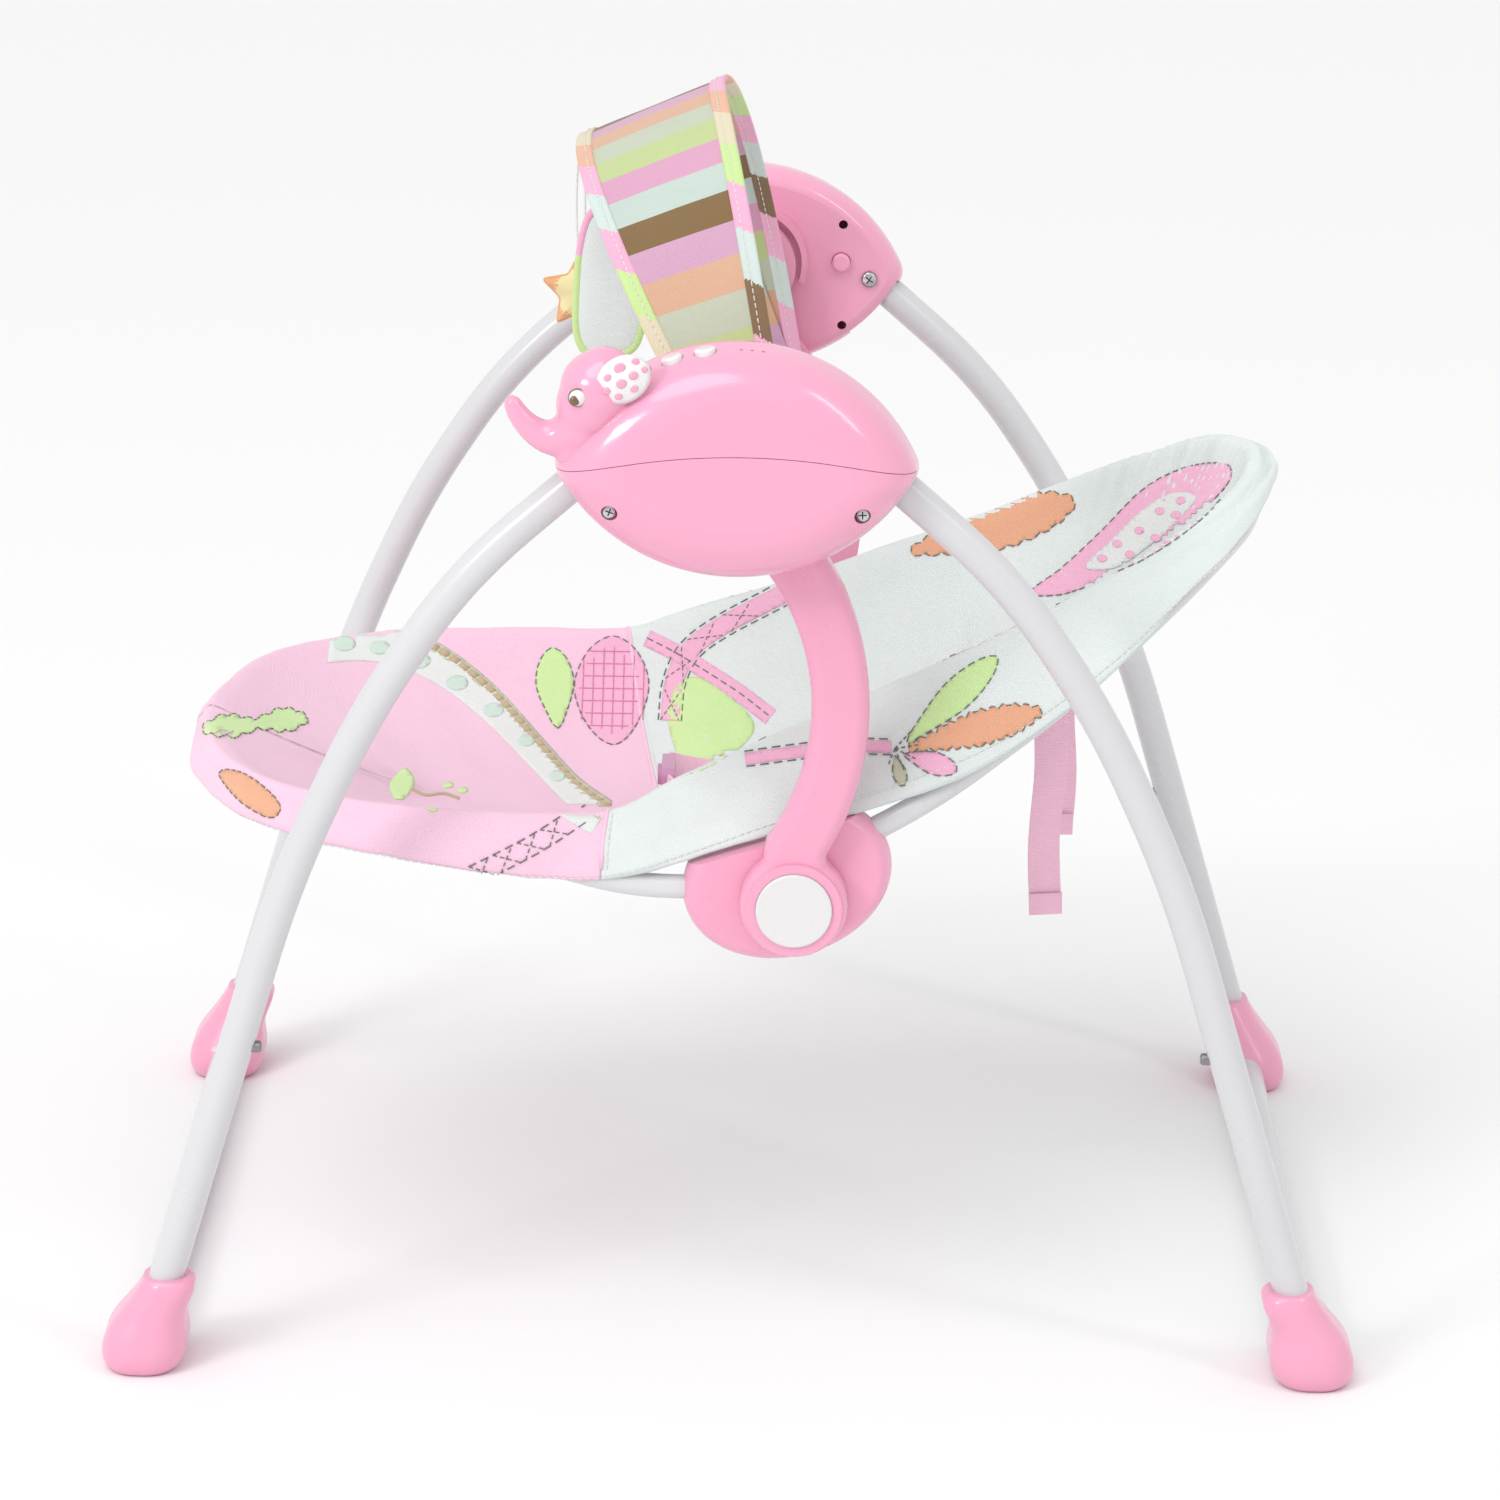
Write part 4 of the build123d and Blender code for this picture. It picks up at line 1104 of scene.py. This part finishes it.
# ---------------------------------------------------------------- hanging toys
def puffed(name, outline, centre, half_thick, materials, pick=None):
    """A stuffed flat toy: both faces bulge between the edge seam and the middle."""
    cx, cy, cz = centre
    shares = (1.0, 0.97, 0.9, 0.78, 0.62, 0.42, 0.2)
    around = len(outline)
    points = []
    for face in (-1, 1):
        for share in shares if face < 0 else shares[1:]:
            bulge = half_thick * (1 - share**2.6) ** 0.5
            for x, z in outline:
                place = (cx + (x - cx) * share, cy + face * bulge, cz + (z - cz) * share)
                points.append(np.array(place) * MM)
    front, back = len(points), len(points) + 1
    points += [np.array((cx, cy + face * half_thick, cz)) * MM for face in (-1, 1)]
    rows = len(shares)
    faces = []
    # The two faces share the ring at the edge, and each closes in a fan at its middle.
    for rings, middle in ((range(rows), front), ([0, *range(rows, 2 * rows - 1)], back)):
        faces += ring_faces(rings, around)
        last = rings[-1] * around
        faces += [(last + j, last + (j + 1) % around, middle) for j in range(around)]
    indices = [pick(np.mean([points[v] for v in face], axis=0) / MM) for face in faces] if pick else None
    return set_normals(new_piece(name, points, faces, materials, indices, [(p[0], p[2]) for p in points]))


def edge_cord(name, outline, centre_y, radius, materials, index_of=None):
    """A round piping cord sewn round a toy's edge."""
    line = np.array([(x, centre_y, z) for x, z in outline + outline[:1]]) * MM
    indices = [index_of(p / MM) for p in line[:-1]] if index_of else None
    return tube_mesh(name, sweep(line, round_bar(radius), [(0, 1, 0)] * len(line)), materials, indices)


def hang_loop(name, x, y, low, high):
    """A cord loop from a toy up to the canopy's edge."""
    half, middle = 2.6, (low + high) / 2
    offsets = ((-half * 0.6, low), (-half, middle), (0, high), (half, middle), (half * 0.6, low))
    keys = [(x + across, y, z) for across, z in offsets]
    line = smooth_line(np.array(keys) * MM, 40)
    return tube_mesh(name, sweep(line, round_bar(0.8), [(0, 1, 0)] * len(line)), [stitch_white])


star_centre = (-98.0, 44.0, 577.0)
star_outline = []
for step in range(10):
    reach = (24.0, 12.5)[step % 2]
    turn = math.radians(90 + 36 * step)
    star_outline.append((star_centre[0] + reach * math.cos(turn), 0, star_centre[2] + reach * math.sin(turn)))
star_outline = [(p[0], p[2]) for p in even_line(np.array(star_outline + star_outline[:1]), 110)]
for _ in range(2):
    before = star_outline[-1:] + star_outline[:-1]
    after = star_outline[1:] + star_outline[:1]
    star_outline = [
        ((a[0] + 2 * b[0] + c[0]) / 4, (a[1] + 2 * b[1] + c[1]) / 4)
        for a, b, c in zip(before, star_outline, after)
    ]
star_yellow = cloth("star_yellow", colour(246, 232, 176))
star_orange = cloth("star_orange", colour(240, 180, 128))
star_toy = puffed(
    "star_body", star_outline, star_centre, 5.6, [star_yellow, star_orange],
    lambda p: 1 if math.hypot(p[0] - star_centre[0], p[2] - star_centre[2]) > 15 else 0,
)
star_edge = edge_cord("star_edge", star_outline, star_centre[1], 0.8, [star_orange])
star_loop = hang_loop("star_loop", star_centre[0], star_centre[1], 599, 671)
leaf_centre = (-78.0, -6.0, 600.0)
leaf_keys = [
    (-82, 640), (-91, 633), (-96, 614), (-98, 588), (-98, 564), (-92, 551),
    (-78, 549), (-63, 557), (-59, 585), (-64, 614), (-73, 635),
]
leaf_outline = [(p[0], p[2]) for p in smooth_line([(x, 0, z) for x, z in leaf_keys], 100, closed=True)]
leaf_toy = puffed(
    "leaf_body", leaf_outline, leaf_centre, 5.0, [prints["pale"], prints["beige"]],
    lambda p: 1 if p[0] + 0.5 * (p[2] - 600) > -68 else 0,
)
leaf_edge = edge_cord(
    "leaf_edge", leaf_outline, leaf_centre[1], 2.6, [piping_cloths["lime"], piping_cloths["pink"]],
    lambda p: 1 if p[2] > 612 else 0,
)
leaf_loop = hang_loop("leaf_loop", leaf_centre[0], leaf_centre[1], 638, 680)
for pieces, body, slot_name, node in (
    ((star_toy, star_edge, star_loop), "toy_star", "star_cloth", "toy_star"),
    ((leaf_toy, leaf_edge, leaf_loop), "toy_leaf", "leaf_cloth", "toy_leaf"),
):
    for piece in pieces:
        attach(piece, body)
    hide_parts(node)

# ---------------------------------------------------------------- straps
def strap(name, keys, hints, half_width, half_thick, count=40):
    """Webbing along key points, its flat face towards the hints."""
    line = smooth_line(np.array(keys) * MM, count)
    hint = smooth_line(np.array(hints, float), count) if len(hints) > 1 else np.array([hints[0]] * count)
    section = rounded_bar(half_width * MM, half_thick * MM, half_thick * 0.9 * MM, 2)
    return tube_mesh(name, sweep(line, section, hint), [webbing])


def strap_tail(name, x, y, low, high, lean):
    """A loose strap end that hangs in a slight curve, its end folded over and sewn."""
    drop = high - low
    keys = [
        (x, y, high),
        (x + 0.5 * lean, y - 1.5, high - 0.3 * drop),
        (x - 0.4 * lean, y + 1.0, high - 0.65 * drop),
        (x + 0.3 * lean, y, low + 0.5),
    ]
    tail = strap(name, keys, [(0, -1, 0), (0.15, -1, 0), (0.3, -1, 0), (0.1, -1, 0)], 10, 0.8)
    fold_keys = [
        (x + 0.2 * lean, y - 1.7, low + 14),
        (x + 0.25 * lean, y - 1.9, low + 7),
        (x + 0.3 * lean, y - 1.7, low + 0.5),
    ]
    return tail, strap(f"{name}_fold", fold_keys, [(0.12, -1, 0)], 10.2, 0.8, 12)


tail_near, fold_near = strap_tail("strap_tail_webbing_near", 188, -38, 212, 345, 3)
tail_far, fold_far = strap_tail("strap_tail_webbing_far", 199, 38, 238, 350, -3)
crotch = strap("crotch_webbing", [(-43, 0, 256), (-42.5, 0, 266), (-42, 0, 279)], [(1, 0, 0)], 17, 1.1, 12)
waists = []
for side, side_name in ((NEAR, "near"), (FAR, "far")):
    keys = [(-42, side * 19, 284), (-28, side * 31, 278), (-6, side * 47, 273), (20, side * 60, 276)]
    hints = [(0.6, -0.8 * side, 0.3), (0.3, -0.4 * side, 0.8), (0, -0.3 * side, 1), (0, -0.45 * side, 1)]
    waist = strap(f"waist_webbing_{side_name}", keys, hints, 10, 1.0)
    waists.append(waist)
    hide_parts(f"waist_strap_{side_name}")
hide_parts("strap_tail_near")
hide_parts("strap_tail_far")
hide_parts("crotch_strap")
for piece in (tail_near, fold_near, tail_far, fold_far, crotch, *waists):
    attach(piece, "seat")

# ---------------------------------------------------------------- moulded elephant head
def blob(name, balls, material):
    """One smooth body from overlapping balls, remeshed and relaxed."""
    made = bmesh.new()
    for x, y, z, radius in balls:
        place = Matrix.Translation(Vector((x, y, z)) * MM)
        bmesh.ops.create_icosphere(made, subdivisions=3, radius=radius * MM, matrix=place)
    mesh = bpy.data.meshes.new(name)
    made.to_mesh(mesh)
    made.free()
    piece = add_object(name, mesh)
    remesh = piece.modifiers.new("remesh", "REMESH")
    remesh.mode = "VOXEL"
    remesh.voxel_size = 1.5 * MM
    relax = piece.modifiers.new("relax", "SMOOTH")
    relax.factor = 0.6
    relax.iterations = 10
    apply_modifiers(piece)
    piece.data.materials.append(material)
    piece.data.shade_smooth()
    return piece


HEAD_Y = -264.0
# Each ball of the head has a place and a radius; the trunk's balls lie along a smooth line.
head_balls = [
    (-76, HEAD_Y, 592, 22), (-73, HEAD_Y, 597, 19), (-80, HEAD_Y, 583, 20),
    (-67, HEAD_Y + 1, 589, 18), (-58, HEAD_Y + 2, 586, 13), (-84, HEAD_Y + 1, 570, 16),
    (-88, HEAD_Y + 1, 558, 13), (-91, HEAD_Y, 567, 13),
]
trunk_keys = [
    (-91, HEAD_Y, 567, 12.5), (-100, HEAD_Y, 564, 10.4), (-108, HEAD_Y, 566, 8.6),
    (-115, HEAD_Y, 571, 7.2), (-120, HEAD_Y, 577, 6.2), (-123.5, HEAD_Y, 583, 5.2),
]
head_balls += [tuple(p) for p in smooth_line(np.array(trunk_keys, float), 26)]
elephant = blob("elephant_body", head_balls, hub_pink)
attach(elephant, "stand")
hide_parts("elephant_head")


LENS_THICKNESS = 1.4


def lens(name, centre, radii, turn, material, bulge, rows=6, around=40, facing=NEAR):
    """A domed disc that faces along -Y or +Y, in millimetres, turned about Y by an angle."""
    cx, cy, cz = centre
    points = []
    for row in range(rows + 1):
        share = 1 - row / rows
        for t in full_turn(around):
            a, b = radii[0] * share * math.cos(t), radii[1] * share * math.sin(t)
            x = cx + a * math.cos(turn) - b * math.sin(turn)
            z = cz + a * math.sin(turn) + b * math.cos(turn)
            points.append((x * MM, (cy + facing * bulge * (1 - share**2)) * MM, z * MM))
    faces = ring_faces(range(rows + 1), around)
    return thicken(new_piece(name, points, faces, [material]), LENS_THICKNESS * MM)


def screw_face(x, y, z, radius, facing):
    """A domed screw head, with two black bars of painted shade where its cross recess lies."""
    turn = 0.3 + 0.7 * math.sin(x + z)
    face = [lens("face", (x, y, z), (radius, radius), 0, chrome, 0.9, 5, 32, facing)]
    recess = (x, y + facing * 0.75, z)
    # The two black bars are painted shade: they stand for the dark inside of the cross recess.
    for angle in (turn, turn + math.pi / 2):
        face.append(lens("cross", recess, (radius * 0.62, 0.55), angle, black_plastic, 0.25, 3, 20, facing))
    return face


chrome = steel("chrome", (0.62, 0.61, 0.64, 1), 0.22)
COVER_SCREW_X, COVER_SCREW_Y, COVER_SCREW_Z = 69.5, -281.8, 527
PIVOT_X, PIVOT_Y, PIVOT_Z = 79, 229.6, 545
cover_faces = []
for x in (-COVER_SCREW_X, COVER_SCREW_X):
    cover_faces += screw_face(x, COVER_SCREW_Y, COVER_SCREW_Z, 3.9, NEAR)
cover_screw_faces = join_pieces("cover_screw_faces", cover_faces)
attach(cover_screw_faces, "stand")
pivot_faces = []
for x in (-PIVOT_X, PIVOT_X):
    pivot_faces += screw_face(x, PIVOT_Y, PIVOT_Z, 4.8, NEAR) + screw_face(x, -PIVOT_Y, PIVOT_Z, 4.8, FAR)
pivot_screw_faces = join_pieces("pivot_screw_faces", pivot_faces)
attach(pivot_screw_faces, "stand")

EAR_TURN = math.radians(35)
EAR_X, EAR_Z, EAR_LONG, EAR_SHORT, EAR_RISE = -62.0, 602.0, 16.0, 13.0, 3.6
ear_dots = [
    (-71, 596, 2.4), (-70.5, 603.5, 2.2), (-64, 609, 3.2), (-63, 600.5, 2.9), (-56.5, 605, 2.6),
    (-55.5, 612.5, 2.3), (-64.5, 593, 2.2), (-50.5, 608, 2.0), (-56, 597.5, 2.2),
]
ear = lens("ear", (EAR_X, -283.0, EAR_Z), (EAR_LONG, EAR_SHORT), EAR_TURN, button_white, EAR_RISE)
ear_spots = []
for x, z, radius in ear_dots:
    a = (x - EAR_X) * math.cos(EAR_TURN) + (z - EAR_Z) * math.sin(EAR_TURN)
    b = -(x - EAR_X) * math.sin(EAR_TURN) + (z - EAR_Z) * math.cos(EAR_TURN)
    rise = EAR_RISE * (1 - (a / EAR_LONG) ** 2 - (b / EAR_SHORT) ** 2)
    ear_spots.append(lens("spot", (x, -283.5 - rise, z), (radius, radius * 0.85), 0.5, hub_pink, 0.3, 3, 16))
ear_spots = join_pieces("ear_spots", ear_spots)
for piece in (ear, ear_spots):
    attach(piece, "stand")
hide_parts("elephant_ear")
eye_rim = lens("eye_rim", (-87, -283.2, 591.5), (5.3, 5.3), 0, stitch_grey, 2.2)
eye_white = lens("eye_white", (-87, -284.0, 591.5), (4.6, 4.6), 0, button_white, 2.4)
eye_pupil = lens("eye_pupil", (-88.4, -285.8, 590.5), (2.7, 2.9), 0, eye_brown, 1.2)
for piece in (eye_rim, eye_white, eye_pupil):
    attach(piece, "stand")
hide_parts("elephant_eye")

# ---------------------------------------------------------------- camera, lights, floor
def aim(thing, target):
    thing.rotation_mode = "QUATERNION"
    thing.rotation_quaternion = (Vector(target) - thing.location).to_track_quat("-Z", "Y")


camera_data = bpy.data.cameras.new("camera")
camera_data.sensor_width = 36
camera_data.lens = 129.96
camera = add_object("camera", camera_data)
camera.location = (0.02487, -3.15371, 1.29823)
aim(camera, (0.0077, 0, 0.3021))
camera.rotation_quaternion = camera.rotation_quaternion @ Quaternion((0, 0, 1), math.radians(0.66))
bpy.context.scene.camera = camera
bpy.context.scene.view_settings.view_transform = "Standard"


def area_light(name, place, target, size, power):
    light = bpy.data.lights.new(name, "AREA")
    light.shape = "RECTANGLE"
    light.size, light.size_y = size
    light.energy = power
    lamp = add_object(name, light)
    lamp.location = place
    aim(lamp, target)


area_light("key", (-2.0, -2.2, 1.9), (0, 0, 0.45), (0.9, 0.5), 24)
area_light("strip", (1.9, -1.5, 2.6), (0.1, -0.2, 0.5), (0.25, 1.4), 9)

sun_data = bpy.data.lights.new("sky_light", "SUN")
sun_data.energy = 0.75
sun_data.angle = math.radians(35)
sun = add_object("sky_light", sun_data)
sun.location = (-1.0, -1.5, 3.0)
aim(sun, (0, 0, 0))

world = bpy.data.worlds.new("studio")
world.use_nodes = True
sky = world.node_tree.nodes["Background"]
sky.inputs["Color"].default_value = (1.0, 1.0, 1.0, 1)
sky.inputs["Strength"].default_value = 0.86
bpy.context.scene.world = world

floor_paint = bpy.data.materials.new("floor")
floor_paint.use_nodes = True
floor_shader = floor_paint.node_tree.nodes["Principled BSDF"]
floor_shader.inputs["Base Color"].default_value = (0.86, 0.86, 0.86, 1)
floor_shader.inputs["Roughness"].default_value = 0.9
REACH = 9.0
corners = [(-REACH, -REACH, 0), (REACH, -REACH, 0), (REACH, REACH, 0), (-REACH, REACH, 0)]
floor = new_piece("floor", corners, [(0, 1, 2, 3)], [floor_paint])
